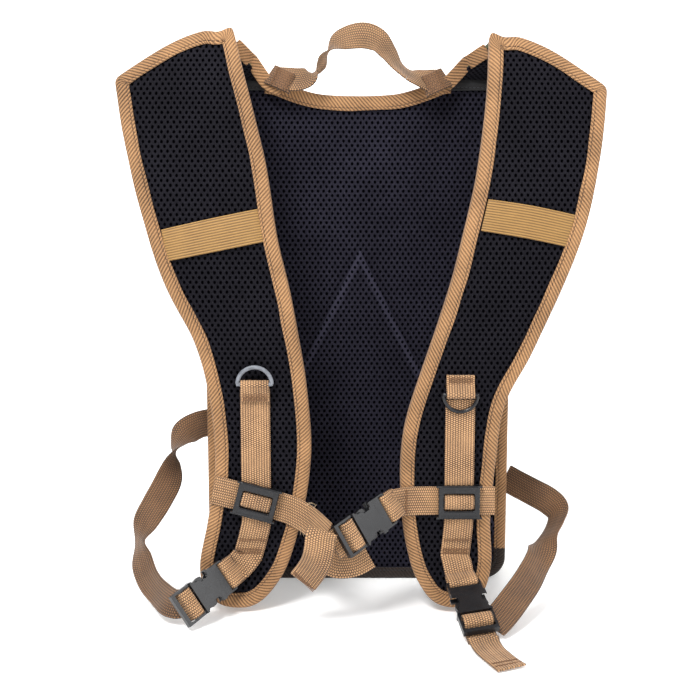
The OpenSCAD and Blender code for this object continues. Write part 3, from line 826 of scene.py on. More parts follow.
OUTER = {"left": [[-203, 452], [-192, 394], [-179, 340], [-162, 284], [-138, 235], [-125, 184],
                  [-121, 128], [-129, 80], [-136, 40], [-131, 18], [-120, 8], [-109, 5]],
         "right": [[207, 445], [200, 388], [189, 334], [171, 282], [146, 226], [124, 180],
                   [117, 130], [113, 82], [115, 44], [109, 20], [98, 9], [88, 5]]}
INNER = {"left": [[-107, 497], [-92, 440], [-78, 384], [-68, 318], [-56, 262], [-44, 192],
                  [-41, 138], [-48, 86], [-61, 42], [-74, 20], [-86, 9], [-97, 5]],
         "right": [[112, 492], [108, 440], [101, 384], [88, 322], [72, 262], [54, 208],
                   [38, 148], [38, 88], [46, 42], [56, 20], [66, 9], [77, 5]]}
SIDE = {"left": -1, "right": 1}
WEB_X = {"left": -87.0, "right": 86.0}
WEB_LEAN = {"left": -10.0, "right": -3.0}
RING_Z = {"left": 199.0, "right": 190.0}
RING_UP = {"left": 1, "right": -1}
TILT = {"left": 15.0, "right": 0.0}
PLACED = {"sternum": ((27, -88, 95), (-69, 21, -140.5)),
          "left": ((-110, -86, 36), (-63, 21, -135)),
          "right": ((88, -96, 32), (6, 24, -78))}


# ------------------------------------------------------------------ shoulder straps
def strap_y(z):
    """Where a strap's front face is at each height."""
    return (-STRAP_REACH + np.where(z > 300, 37 * ((z - 300) / 190) ** 2, 0)
            - np.where(z < 60, 12 * ((60 - z) / 60) ** 2, 0))


def strap_slope(z):
    """How strap_y changes with height."""
    return (np.where(z > 300, 74 * (z - 300) / 190 ** 2, 0)
            + np.where(z < 60, 24 * (60 - z) / 3600, 0))


def on_strap(x, z, proud):
    """Points proud of a strap's front face."""
    x, z = np.asarray(x, float), np.asarray(z, float)
    slope = strap_slope(z)
    size = np.sqrt(1 + slope ** 2)
    return joined(x, strap_y(z) - proud / size, z + proud * slope / size)


def top_arch(share):
    """How far a strap's top edge rises above its corners' line, from inner to outer corner."""
    return (8.5 * np.sin(np.pi * np.clip(share, 0, 1) ** 0.85)
            - 4.0 * np.exp(-((share - 0.11) / 0.075) ** 2))


EDGE_SPACING = 0.8


def strap_loop(side):
    """The strap's edge line in [x, z], and which way is inwards."""
    outer, inner = smooth(OUTER[side]), smooth(INNER[side])
    share = np.linspace(0, 1, 60)[:, None]
    top = inner[:1] * (1 - share) + outer[:1] * share
    top[:, 1] += top_arch(share[:, 0])
    loop = np.vstack([outer, inner[::-1], top[1:]])
    line, along = spaced(loop, EDGE_SPACING, 2)
    line = round_corners(line[:-1], 7.0 / EDGE_SPACING)
    stray = wander(along[:-1], 0.022, 5 + SIDE[side])
    stray *= np.minimum(1, np.minimum(along[:-1], along[-1] - along[:-1]) / 40)
    return line + 0.8 * stray[:, None] * left_of(line), -SIDE[side]


def round_corners(line, reach):
    """Rounds a closed line by averaging each point with its neighbours within reach."""
    count = int(round(reach))
    shares = np.hanning(2 * count + 3)[1:-1]
    total = sum(share * np.roll(line, k - count, axis=0) for k, share in enumerate(shares))
    return total / shares.sum()


def strap_grid(side, across, spacing, inset):
    """[rows, columns, 2] points from the outer to the inner edge, in x and z."""
    outer, inner = smooth(OUTER[side]), smooth(INNER[side])
    rows, _ = spaced(np.hstack([(outer + inner) / 2, outer, inner]), spacing, 2)
    outer, inner = rows[:, 2:4], rows[:, 4:6]
    width = np.linalg.norm(inner - outer, axis=1)
    share = np.linspace(0, 1, across)[None, :, None]
    lost = (inset / width)[:, None, None]
    share = lost + share * (1 - 2 * lost)
    grid = outer[:, None, :] * (1 - share) + inner[:, None, :] * share
    below = np.linalg.norm((rows - rows[0])[:, :2], axis=1)
    fade = np.clip(1 - below / 70, 0, 1) ** 2
    grid[..., 1] += top_arch(1 - share[..., 0]) * fade[:, None]
    down = unit(grid[1, :] - grid[0, :])
    grid[0] += down * inset
    grid[-1] += unit(grid[-2] - grid[-1]) * inset
    return grid


def edge_distance(grid, edge):
    """How far each place of an [x, z] grid is from the nearest point of an edge line."""
    flat = grid.reshape(-1, 2)
    far = np.empty(len(flat))
    for start in range(0, len(flat), 4000):
        part = flat[start:start + 4000]
        far[start:start + 4000] = np.linalg.norm(part[:, None] - edge[None], axis=2).min(axis=1)
    return far.reshape(grid.shape[:2])


def creases(x, z, size, seed):
    """Soft unevenness of filled fabric, from about -1 to 1."""
    flat = np.stack([np.ravel(x), np.ravel(z)], axis=1)
    value = [noise.noise(Vector((a / size, b / size, seed))) for a, b in flat]
    return np.reshape(value, np.shape(x))


def pad_puff(side, edge):
    """How far a cloth simulation pushes the strap's face out, as a function of x and z."""
    grid = strap_grid(side, 13, 9.0, 3.0)
    verts = np.vstack([on_strap(grid[..., 0], grid[..., 1], depth).reshape(-1, 3)
                       for depth in (-1.5, -8.5)])

    def held(points):
        return edge_distance(points[None, :, ::2], edge[::4])[0] < 13.0

    tree = puff(verts, sheet_faces(*grid.shape[:2]), held)
    fine = strap_grid(side, 25, 5.0, 3.0)
    places = on_strap(fine[..., 0], fine[..., 1], -1.5).reshape(-1, 3)
    ways = unit(on_strap(fine[..., 0], fine[..., 1], 5.0).reshape(-1, 3) - places)
    rise = pressed(tree, places, ways).reshape(fine.shape[:2])
    return blur(rise, 2)


def resize(grid, rows, columns):
    """Bilinear resampling of a small grid."""
    r = np.linspace(0, grid.shape[0] - 1, rows)
    c = np.linspace(0, grid.shape[1] - 1, columns)
    tall = np.stack([np.interp(r, np.arange(grid.shape[0]), grid[:, k])
                     for k in range(grid.shape[1])], axis=1)
    return np.stack([np.interp(c, np.arange(grid.shape[1]), tall[k]) for k in range(rows)])


def add_strap_pad(side):
    body = side + "_strap"
    edge, _ = strap_loop(side)
    grid = strap_grid(side, 92, 1.15, 1.5)
    x, z = grid[..., 0], grid[..., 1]
    rows, columns = x.shape
    far = edge_distance(grid, edge[::2])
    proud = -0.7 + 1.3 * (1 - np.exp(-far / 9)) + 0.35 * creases(x, z, 38, SIDE[side] * 3.1)
    rise = resize(pad_puff(side, edge), rows, columns)
    proud += np.clip(rise - np.median(rise), -0.9, 0.6) * (far > 8)
    relief = hole_depth(x, z) * np.clip((far - 6) / 4, 0, 1)
    top = on_strap(x, z, np.minimum(proud, 1.1) - 0.9 * relief)
    bottom = on_strap(x, z, -8.9)
    pad = sheet(side + "_strap_pad", top, bottom, (x, z), body=body,
                replaces=(side + "_strap_mesh", side + "_strap_foam"), **AIR)
    back = strap_grid(side, 24, 5.0, 1.5)
    x, z = back[..., 0], back[..., 1]
    sag = 0.25 * creases(x, z, 30, 9.3)
    sheet(side + "_strap_lining", on_strap(x, z, -9.4), on_strap(x, z, -10.9 + sag), (x, z),
          body=body, replaces=(side + "_strap_backing",), **CLOTH)


def add_strap_binding(side):
    body = side + "_strap"
    edge, turn = strap_loop(side)
    inward = edge_inwards(edge, STRAP_LIP, turn)
    tape(side + "_strap_edge_tape", edge, inward, on_strap, STRAP_LIP, STRAP_BACK, True,
         body=body, replaces=(side + "_strap_binding",), **BOUND)
    closed = np.vstack([edge, edge[:1]])
    inward = np.vstack([inward, inward[:1]])
    # the stitches are in the dark thread: painted shade along the stitch line
    tape_seam(side + "_strap_edge_stitches", closed, inward, on_strap, STRAP_LIP,
              material=THREAD_DARK, body=body)


# the lower and the upper edge of each elastic keeper, in [x, z]
KEEPER = {"left": ([[-158.5, 301.5], [-118, 309.5], [-78.5, 317.5]],
                   [[-163.5, 327.5], [-123, 336.5], [-83.5, 344.5]]),
          "right": ([[101.5, 326.5], [138, 320.5], [172.5, 313.5]],
                    [[107.5, 352.5], [144, 347], [179.5, 339.5]])}
KEEPER_WIDTH, KEEPER_LENGTH = 26.5, 82


def add_keeper(side):
    low, high = (smooth(np.array(row, float), 40) for row in KEEPER[side])
    share = np.linspace(0, 1, 27)[None, :, None]
    grid = low[:, None, :] * (1 - share) + high[:, None, :] * share
    x, z = grid[..., 0], grid[..., 1]
    t = np.linspace(0, 1, len(low))[:, None]
    arch = 0.25 + 1.75 * (1 - np.abs(2 * t - 1) ** 6)
    v = share[0, :, 0][None, :] * KEEPER_WIDTH
    ribs = 0.18 * np.cos(math.tau * v / ELASTIC_RIB) + 0.12 * np.cos(math.tau * t * 80 / 1.6)
    top = on_strap(x, z, arch + 0.75 + ribs)
    bottom = on_strap(x, z, arch - 0.65)
    sheet(side + "_elastic_keeper", top, bottom, (t * KEEPER_LENGTH, v), material=ELASTIC,
          body=side + "_strap", slot="elastic", replaces=(side + "_keeper",))


def add_strap_webbing(side):
    body = side + "_strap"
    x, lean, ring = WEB_X[side], WEB_LEAN[side], RING_Z[side]
    half = WEB_T / 2
    stations = [(x, ring - 4.4, WEB_STAND + half), (x, 150, WEB_STAND + half),
                (x, 110, WEB_STAND + half), (x, 82, WEB_STAND + half),
                (x + lean * 0.25, 68, 3.9), (x + lean * 0.55, 57, 2.9),
                (x + lean * 0.8, 49, 2.6)]
    route = [[*on_strap(sx, sz, d), 1, 0, lean * 0.006] for sx, sz, d in stations]
    end = np.array(route[-1][:3])
    wrap = buckle_route(side, PLUG_FRONT)
    start = np.array(wrap[0][:3])
    for share, slack in ((0.35, 2.0), (0.7, 1.5)):
        place = end * (1 - share) + start * share + np.array((0, -slack, 0))
        across = unit(np.array((1, 0, lean * 0.006))) * (1 - share)
        across = across + np.array(wrap[0][3:]) * share
        route.append([*place, *across])
    route += wrap
    ribbon(side + "_strap_webbing_woven", route, body=body,
           replaces=(side + "_strap_webbing",), **WEB)
    for z, lift in ((51.0, 3.7), (54.0, 4.0), (63.0, 5.1)):
        share = np.clip((75 - z) / 31, 0, 1)
        bar_tack(f"{side}_strap_tack_{z:.0f}", on_strap(x + lean * share, z, lift), (1, 0, 0),
                 (0, 0, 1), (0, -1, 0), 22, 1.9, body)


def add_ring_loop(side):
    body = side + "_strap"
    x, ring, up = WEB_X[side], RING_Z[side], RING_UP[side]
    way = -up
    turn = np.linspace(-80, 260, 12)
    loop = [(RING_STAND + 2.75 * math.cos(math.radians(a)),
             -way * 2.75 * math.sin(math.radians(a))) for a in turn]
    path = ([(6.6, way * 15), (6.9, way * 10), (8.6, way * 5)] + loop[1:-1]
            + [(4.6, way * 4), (2.6, way * 6.5), (2.0, way * 11), (1.9, way * 16)])
    if side == "right":
        path = [(4.6, way * 16), (4.9, way * 10), (7.6, way * 5)] + path[3:]
    route = [[*on_strap(x, ring + dz, d), 1, 0, 0] for d, dz in path]
    ribbon(side + "_ring_loop_woven", route, 23.6, 1.3, body=body,
           replaces=(side + "_ring_loop",), **WEB)
    front = 7.6 if side == "left" else 5.6
    for step in (8.5, 11.0, 13.5):
        bar_tack(f"{side}_ring_tack_{step:.0f}", on_strap(x, ring + way * step, front + 0.35),
                 (1, 0, 0), (0, 0, 1), (0, -1, 0), 20, 1.8, body)


def add_d_ring(side):
    x, z, up = WEB_X[side], RING_Z[side], RING_UP[side]
    arc = np.radians(np.linspace(0, 180, 41))
    line = [(RING_ARC * math.cos(a), up * RING_ARC * math.sin(a)) for a in arc]
    line += [(a, 0) for a in np.linspace(-RING_ARC, RING_ARC, 15)[1:-1]]
    line = np.array(line)
    turn = np.linspace(0, math.tau, 16, endpoint=False)
    flat = 1.75 if side == "left" else 1.6
    a, b = np.cos(turn) * flat, np.sin(turn) * 1.5
    xz = line[:, None, :] - left_of(line)[:, None, :] * a[None, :, None]
    rings = joined(x + xz[..., 0], -STRAP_REACH - RING_STAND + b[None, :], z + xz[..., 1])
    tube(side + "_d_ring_moulded", rings, (rings[..., 0], rings[..., 2]), True,
         body=side + "_ring",
         material=PLASTIC_PALE if side == "left" else PLASTIC, slot="ring_plastic",
         replaces=(side + "_d_ring",))


# ------------------------------------------------------------------ sternum strap
def slider_point(side, along, out, up=0.0):
    tilt = math.radians(TILT[side])
    return (WEB_X[side] + along * math.cos(tilt) + up * math.sin(tilt), -STRAP_REACH + out,
            SLIDER_Z - along * math.sin(tilt) + up * math.cos(tilt))


# along the sternum strap, out of the strap's face, and up, from the middle of each slider
SLIDER_PATHS = {"left": [(-38, -2.6, 0), (-30, -2.6, 0), (0, -2.6, 0), (24, -2.6, 0),
                         (36, -4.4, -1.2), (46, -10, -2.6), (55, -20, -4.1), (64, -33, -5.8)],
                "right": [(31, -2.6, 0), (20, -2.6, 0), (-10, -2.6, 0), (-34, -2.8, 0),
                          (-46, -5, 0), (-57, -12, 0)]}


def slider_route(side, path):
    tilt = math.radians(TILT[side])
    route = []
    for a, b, c in path:
        turn = tilt + (0.003 * max(a - 24, 0) if side == "left" else 0)
        route.append([*slider_point(side, a, b, c), math.sin(turn), 0, math.cos(turn)])
    return route


def blend_sternum(piece):
    """Bakes a piece in place; the left sternum webbing leaves its slider and bends to the sternum
    buckle.
    """
    place_of(slider_point("left", 34, -3))
    place_of(slider_point("left", 64, -33))
    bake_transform(piece)


def rounded_box_line(half_w, half_h, radius):
    """Points round a rectangle with rounded corners."""
    corners = [(1, 1, 0), (-1, 1, 90), (-1, -1, 180), (1, -1, 270)]
    return np.array([(sx * (half_w - radius) + radius * math.cos(math.radians(start + a)),
                      sy * (half_h - radius) + radius * math.sin(math.radians(start + a)))
                     for sx, sy, start in corners for a in np.linspace(0, 90, 7)])


def add_slider_frame(side):
    """The slider's broad face frame round its window."""
    outer = rounded_box_line(17.6, 14.6, 2.2)
    inner = rounded_box_line(13.0, 7.4, 1.6)
    section = [(0, -5.7), (0, -8.3), (0.05, -9.1), (0.16, -9.5), (0.3, -9.3), (0.75, -9.0),
               (0.9, -9.1), (0.97, -8.7), (1, -8.0), (1, -5.7)]
    rings = []
    for outside, inside in zip(outer, inner):
        spots = [(*(outside * (1 - s) + inside * s), y) for s, y in section]
        rings.append([slider_point(side, along, y, up) for along, up, y in spots])
    rings = np.array(rings)
    tube(side + "_slider_face", rings, (np.zeros(rings.shape[:2]), 0), True,
         body=side + "_slider", **MOULDING)


def add_sternum(side):
    body = side + "_slider"
    add_slider_frame(side)
    rounded(side + "_sternum_slider", 0.7, 3, body=body, **MOULDING)
    band = ribbon(side + "_sternum_webbing_woven", slider_route(side, SLIDER_PATHS[side]),
                  body=body if side == "right" else None,
                  replaces=(side + "_sternum_webbing",), **WEB)
    hump = [(-5.2, -5.6), (-7.4, -5.5), (-9.6, -3.8), (-10.6, 0), (-9.6, 3.8), (-7.4, 5.5),
            (-5.2, 5.6)]
    tilt = math.radians(TILT[side])
    route = [[*slider_point(side, 0, out, up), math.cos(tilt), 0, -math.sin(tilt)]
             for out, up in hump]
    ribbon(side + "_slider_window_webbing", route, 25.0, 1.3, body=body, **WEB)
    if side == "left":
        blend_sternum(band)
        return
    for along in (45, 47.5):
        bar_tack(f"right_sternum_tack_{along}", slider_point(side, -along, -6.0), (0, 0, 1),
                 (1, 0, 0), (0, -1, 0), 21, 1.8, body)


def add_frayed_ends():
    """A few loose thread ends where the left sternum webbing is sewn."""
    places = np.array([slider_point("left", a, b, c) for a, b, c in
                       ((44, -10.5, 11.5), (46, -11, 12.5), (49, -13, 11.0), (43, -9.5, -14),
                        (45, -10, -15))])
    ways = np.array([(0.8, -0.3, 0.5), (0.9, -0.2, -0.2), (0.5, -0.4, 0.7), (-0.1, -0.3, -1),
                     (0.4, -0.3, -0.9)])
    piece = stitches("sternum_loose_threads", places, ways, np.tile((0, -1, 0.3), (5, 1)), 7.0,
                     0.4, material=THREAD_PALE)
    blend_sternum(piece)


# ------------------------------------------------------------------ buckles, tails and loops
def placement(name):
    """Where a buckle's own frame is, and how it is turned."""
    place, turns = PLACED[name]
    a, b, c = (math.radians(t) for t in turns)
    turn = (Matrix.Rotation(c, 3, "Z") @ Matrix.Rotation(b, 3, "Y") @ Matrix.Rotation(a, 3, "X"))
    return np.array(place, float), np.array(turn)


def buckle_route(name, path):
    """A route through a buckle, from [x, z] in its own frame; the webbing lies across it."""
    place, turn = placement(name)
    return [[*(place + turn @ np.array((a, 0, b))), *(turn @ np.array((0, 1, 0)))]
            for a, b in path]


# webbing through a buckle's bars, in [x, z] of the buckle's own frame; the bare wrap has no
# ends, since the side webbing itself leaves from it
LADDER_WRAP = [(62, -4.9), (56, -4.5), (51.6, -3.0), (50.2, 0.4), (48.8, 3.4), (45, 4.6),
               (40.8, 3.6), (39.1, 0.2), (39.5, -3.4), (44, -6.2), (53, -6.6), (62, -6.8)]
BARE_WRAP = LADDER_WRAP[2:10]
PLUG_FRONT = [(-9, 1.6), (-4, 2.9), (1, 3.8), (4.4, 3.0), (5.7, 0.2), (4.8, -2.9), (1, -3.7),
              (-4, -2.6), (-9, -1.2)]


def add_buckle(name, plug_body, socket_body, prongs):
    rounded(name + "_plug", 0.6, 3, body=plug_body, **MOULDING)
    rounded(name + "_socket", 0.6, 3, socket_windows(name), body=socket_body, **MOULDING)
    for prong in prongs:
        rounded(prong, 0.5, 3, body=prong, **MOULDING)
    wrap = BARE_WRAP if name == "left" else LADDER_WRAP
    ribbon(name + "_ladder_webbing", buckle_route(name, wrap), 24.6, 1.3, body=socket_body,
           **WEB)
    if name == "sternum":
        ribbon(name + "_plug_webbing", buckle_route(name, PLUG_FRONT), 24.2, 1.3,
               body=plug_body, **WEB)


def add_tails():
    first = [[-29, -125, 86, 0.8, 0.1, 0.5], [-31, -127, 80, 0.85, 0.1, 0.2],
             [-32, -127.5, 71, 0.86, 0.05, -0.2], [-34.5, -125, 60, 0.8, 0.0, -0.5],
             [-39, -120, 50, 0.75, 0.0, -0.65], [-46, -115, 39, 0.72, 0.0, -0.7]]
    second = [[-24, -112, 55, 0.3, 0.1, 0.93], [-15, -109, 51, 0.25, 0.1, 0.93],
              [-3, -107, 52, 0.3, 0.1, 0.93], [9, -105, 58, 0.45, 0.1, 0.9]]
    ribbon("sternum_tail_hem", first, bow=0.8, body="sternum_buckle",
           replaces=("sternum_tail",), **WEB)
    ribbon("sternum_tail_fold", second, 23.0, body="sternum_buckle", **WEB)
    for k, share in enumerate((0.82, 0.9, 0.97)):
        centre = np.array(first[4][:3]) * (1 - share) + np.array(first[5][:3]) * share
        bar_tack(f"sternum_tail_tack_{k}", centre + np.array((0, -1.6, -0.6)),
                 (0.72, 0, -0.7), (-0.45, 0.35, -0.8), (0, -1, 0), 22, 1.6,
                 "sternum_buckle")
    tail = [[99.5, -151, 6.0, 1, 0.15, 0.05], [100.5, -157, 3.4, 1, 0.2, 0],
            [103, -166, 1.8, 1, 0.35, 0], [107, -177, 1.5, 1, 0.4, 0],
            [111.5, -188, 1.5, 1, 0.4, 0], [115.5, -198, 1.9, 1, 0.4, 0.05]]
    ribbon("right_tail_woven", tail, body="right_buckle", replaces=("right_tail",), **WEB)
    for k in range(2):
        centre = np.array((111.4 + 1.9 * k, -187.8 - 4.7 * k, 2.6))
        bar_tack(f"right_tail_tack_{k}", centre, (0.93, 0.37, 0), (0.37, -0.93, 0), (0, 0, 1),
                 22, 1.6, "right_buckle")


# how far along each side webbing its first piece, the free loop, runs: over six widths
LOOP_LENGTH = 153.0
# the side webbings' stations: a place, and which way lies across the webbing there
LEFT_LOOP = [(-137.5, 5, 148, 0, 0.2, 1), (-147, -3, 147, 0, 0.2, 1),
             (-157, -11, 142, -0.3, 0.45, 0.85), (-164, -18, 131, -0.4, 0.9, 0.1),
             (-167, -25, 117, 0.45, 0.85, -0.3), (-171, -31, 101, 0.9, 0.3, -0.3),
             (-180, -38, 84, 0.88, -0.1, -0.45), (-189, -46, 68, 0.8, -0.45, -0.3),
             (-193, -53, 52, 0.5, -0.77, 0.4), (-190, -62, 38, 0.72, -0.3, 0.6),
             (-183, -74, 27, 0.6, -0.1, 0.79), (-172, -90, 21, 0.5, -0.2, 0.85),
             (-161, -106, 19, 0.53, -0.1, 0.84), (-153, -112, 18.5, 0.55, -0.1, 0.83),
             (-146, -113.5, 19.5, 0.55, -0.1, 0.83)]
RIGHT_LOOP = [(137.5, 5, 96, 0, 0.2, 1), (148, 0, 91, 0.1, 0.2, 1),
              (162, -8, 85, 0.3, 0.1, 0.95), (175, -16, 79, 0.45, 0.1, 0.88),
              (182, -25, 72, 0.62, -0.47, 0.62), (177, -35, 62, 0.51, -0.73, 0.46),
              (168, -47, 53, 0.52, -0.8, 0.3), (158, -66, 41, 0.75, -0.1, -0.65),
              (145, -90, 31, 0.65, -0.4, -0.7), (130, -112, 22, 0.65, -0.4, -0.68),
              (118, -126, 14, 0.75, -0.45, -0.48), (108, -136, 8, 0.85, -0.5, -0.3)]


def add_side_webbing(side):
    """The free loop and its end, as two pieces on no body."""
    route = LEFT_LOOP if side == "left" else RIGHT_LOOP
    curve = smooth(route, ROUTE_STEPS)[:, :3]
    along = far_along(curve)
    cut = int(np.searchsorted(along, LOOP_LENGTH))
    # both pieces are in the darker copy of the webbing: painted shade
    near, far = ribbon_parts((side + "_side_webbing_woven", side + "_side_webbing_end"), route,
                             [cut / ROUTE_STEPS],
                             [{"replaces": (side + "_side_webbing",), **SHADED_WEB}, SHADED_WEB])
    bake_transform(near)
    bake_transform(far)


# ------------------------------------------------------------------ yokes and haul handle
def add_yoke(side):
    sign = SIDE[side]
    outer = on_strap(*OUTER[side][0], -14.6)
    inner = on_strap(*INNER[side][0], -14.6)
    seam_outer, seam_inner = np.array((sign * 140, -2, 465)), np.array((sign * 84, -2, 465))
    t = np.linspace(0, 1, 40)[:, None, None]
    s = np.linspace(0, 1, 60)[None, :, None]
    first = outer * (1 - t) + seam_outer * t
    last = inner * (1 - t) + seam_inner * t
    grid = first * (1 - s) + last * s
    grid[..., 2] -= 10 * (t * (1 - t))[..., 0]
    grid[..., 2] += top_arch(1 - s[..., 0]) * (1 - t[..., 0]) ** 3
    lift = 0.8 * creases(grid[..., 0], grid[..., 1], 22, sign * 5.5)
    top, bottom = grid.copy(), grid.copy()
    top[..., 2] += lift
    bottom[..., 2] += lift - 4 - 3 * t[..., 0] ** 3
    uv = (t[..., 0] * 60, s[..., 0] * 90)
    sheet(side + "_yoke_lining", bottom - (0, 0, 0.15), bottom - (0, 0, 1.4), uv,
          body=side + "_strap", **AIR)
    sheet(side + "_yoke_cloth", top, bottom, uv, body=side + "_strap",
          replaces=(side + "_yoke",), **CLOTH)
    edge = last[:, 0, :].copy()
    edge[:, 2] -= 10 * (t * (1 - t))[:, 0, 0] + 2
    edge[:, 0] -= sign * 1.4
    edge[:, 2] -= 5.5 * (1 - t[:, 0, 0]) ** 3
    route = [[*place, -sign * 0.25, -0.35, 1] for place in edge[:28:6]]
    route += [[sign * 81, -8.8, 455.5, -sign * 0.5, -0.1, 1],
              [sign * 74, -10.6, 450.6, -sign * 0.4, 0, 1],
              [sign * 67, -10.8, 448.2, -sign * 0.25, 0, 1]]
    strip = ribbon(side + "_yoke_edge_tape", route, 12.0, 1.8, rib=0.0, spacing=1.0, **BOUND)
    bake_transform(strip)


def add_handle():
    route = [(-70, -7.5, 457.5, 0.15, 0.5, 0.9), (-62, -8, 457, 0.15, 0.5, 0.9),
             (-52, -9, 456.5, 0.15, 0.5, 0.9),
             (-41, -9.5, 459.5, 0.35, 0.6, 0.75), (-33, -8, 468, 0.5, 0.9, 0.35),
             (-27, -7, 479, 0.25, 0.9, 0.35), (-16, -7, 489.5, -0.1, 0.6, 0.8),
             (3, -7, 494, 0.03, 0.25, 1), (17, -7, 490, 0.2, 0.4, 0.9),
             (26, -7, 480, 0.45, 0.7, 0.55), (34, -8, 468.5, 0.35, 0.9, 0.35),
             (44, -9, 460.5, 0.1, 0.9, 0.5), (54, -9, 457.5, 0, 0.7, 0.7),
             (62, -8, 455.5, -0.15, 0.5, 0.86), (70, -7.5, 455.5, -0.15, 0.5, 0.86)]
    # the handle and its roots are in the darker copy of the webbing: painted shade
    middle = {"body": "handle", "replaces": ("haul_handle",), **HANDLE_SHADED_WEB}
    ends = ribbon_parts(("left_handle_root", "haul_handle_woven", "right_handle_root"), route,
                        [4, 11], [HANDLE_SHADED_WEB, middle, HANDLE_SHADED_WEB], 23.5)
    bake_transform(ends[0])
    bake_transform(ends[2])
    for side, sign in SIDE.items():
        turn = math.radians(24)
        centre = np.array((sign * 68, -12.4, 454.5 if side == "right" else 457.0))
        out = np.array((math.cos(turn) * sign, 0.12, math.sin(turn)))
        up = np.array((-math.sin(turn) * sign, 0.35, math.cos(turn)))
        route = [[*(centre + out * a + np.array((0, b, 0))), *up]
                 for a, b in ((-11, 3.2), (-9, 0.8), (-5, 0), (0, 0), (5, 0.8), (10, 3.4))]
        extra = {"replaces": ("handle_ends",)} if side == "left" else {}
        # the handle ends are in the darker copy of the webbing: painted shade
        ribbon(side + "_handle_end", route, 19.0, 1.8, body="pack", **extra, **SHADED_WEB)
        for k in range(6):
            tack = centre + out * (k * 2.6 - 8) + np.array((0, -1.0 + 0.03 * (k - 2) ** 2, 0))
            bar_tack(f"{side}_handle_tack_{k}", tack, up, out, (0, -1, 0), 17, 2.0, "pack")


# ------------------------------------------------------------------ back panel and its edges
# the neckline: how far it falls below the pack's top at each x
NECK = [(0, 15.5), (16, 15.2), (34, 13.8), (48, 10.5), (60, 6.4), (72, 2.0), (NECK_HALF, 0)]


def panel_outline(inset, spacing=2.0):
    """The panel's closed outline in [x, z], inset from its edge."""
    x, top, r = PACK_W / 2 - inset, PACK_H - inset, CORNER_R - inset * 0.6
    low = [(x - r + r * math.cos(a), inset + r + r * math.sin(a))
           for a in np.radians(np.linspace(-90, 0, 16))]
    high = [(x - r + r * math.cos(a), top - r + r * math.sin(a))
            for a in np.radians(np.linspace(0, 90, 16))]
    neck = smooth([(x, top - fall) for x, fall in NECK[::-1]], 12)
    half = np.array(low + high + neck.tolist())
    whole = np.vstack([half, (half * (-1, 1))[::-1][1:], half[:1]])
    line, _ = spaced(whole, spacing, 2)
    return line[:-1]


def on_panel(x, z, proud):
    """Points proud of the back panel's front face."""
    return joined(np.asarray(x, float), -np.asarray(proud, float), z)


def outline_limits(x, inset):
    """Lowest and highest z of the panel's outline at each x."""
    half, top, r = PACK_W / 2 - inset, PACK_H - inset, CORNER_R - inset * 0.6
    reach = np.clip(np.abs(x) - (half - r), 0, r)
    corner = r - np.sqrt(np.maximum(r * r - reach * reach, 0))
    dip = np.interp(np.abs(x), *np.array(NECK, float).T)
    return inset + corner, top - corner - dip


def panel_grid(inset, columns, rows):
    """Grids of x and z over the panel, inset from its edge."""
    x = np.linspace(-1, 1, columns)
    x = np.sign(x) * (1 - (1 - np.abs(x)) ** 1.15) * (PACK_W / 2 - inset - 0.02)
    low, high = outline_limits(x, inset)
    v = np.linspace(0, 1, rows)[None, :]
    z = low[:, None] * (1 - v) + high[:, None] * v
    return np.broadcast_to(x[:, None], z.shape).copy(), z


def diamond(x, z):
    """How far inside the seams of the panel's thicker middle pad a place is."""
    return ((DIAMOND_TOP - z) / 2 - np.abs(x - DIAMOND_X)) / math.sqrt(1.25)


def add_back_panel():
    x, z = panel_grid(1.5, 168, 280)
    far = edge_distance(joined(x, z), panel_outline(0))
    swell = 0.8 * (1 - np.exp(-np.maximum(far - 8, 0) / 14)) + 0.35 * creases(x, z, 45, 2.2)
    inside = diamond(x, z)
    ridge = 2.3 * np.clip(inside / 2.2, 0, 1) * np.exp(-np.maximum(inside, 0) / 40)
    seam_dip = 1.4 * np.exp(-((inside + 1.4) / 2.2) ** 2)
    proud = -1.1 + swell + ridge - seam_dip
    relief = hole_depth(x, z) * np.clip((far - 9) / 3, 0, 1)
    top = on_panel(x, z, np.minimum(proud, 2.0) - 0.8 * relief)
    pad = sheet("back_panel_pad", top, on_panel(x, z, -9.2), (x, z), material=MESH_PANEL,
                body="pack", slot="air_mesh", replaces=("back_panel_mesh", "back_panel_foam"))
    x, z = panel_grid(1.5, 30, 40)
    sheet("back_panel_lining_cloth", on_panel(x, z, -9.6), on_panel(x, z, -10.8), (x, z),
          material=LINING, body="pack", slot="lining", replaces=("back_panel_lining",))


def add_panel_tapes():
    line = panel_outline(0, 0.9)
    inward = edge_inwards(line, 10.0, 1)
    x, z = line[:, 0], line[:, 1]
    tall = (z >= CORNER_R + 9) & (z < PACK_H - 5)
    high = z > PACK_H - 6
    parts = [("neck", (np.abs(x) <= NECK_HALF - 3) & (z > 300), BINDING, ("neck_binding",)),
             ("bottom", z < CORNER_R + 10, BINDING_DARK, ("bottom_binding",)),
             ("left_side", (x < -NECK_HALF) & tall, BINDING, ("side_binding",)),
             ("right_side", (x > NECK_HALF) & tall, BINDING, ()),
             ("left_shoulder", (x < 4 - NECK_HALF) & high, BLACK_CLOTH, ()),
             ("right_shoulder", (x > NECK_HALF - 4) & high, BLACK_CLOTH, ())]
    for part, inside, cloth, replaces in parts:
        picked = np.nonzero(inside)[0]
        gaps = np.nonzero(np.diff(picked) > 1)[0]
        if len(gaps):
            picked = np.roll(picked, -(gaps[0] + 1))
        width = 12.0 if part == "neck" else 10.0
        dark = cloth is not BINDING
        tape(part + "_edge_tape", line[picked], inward[picked], on_panel, width, PANEL_BACK,
             material=cloth, body="pack", slot="dark_binding" if dark else "binding_tape",
             replaces=replaces)
        # stitches on the brown tapes take the dark thread: painted shade along the stitch line
        tape_seam(part + "_edge_stitches", line[picked], inward[picked], on_panel, width,
                  material=THREAD_BLACK if dark else THREAD_DARK, body="pack")


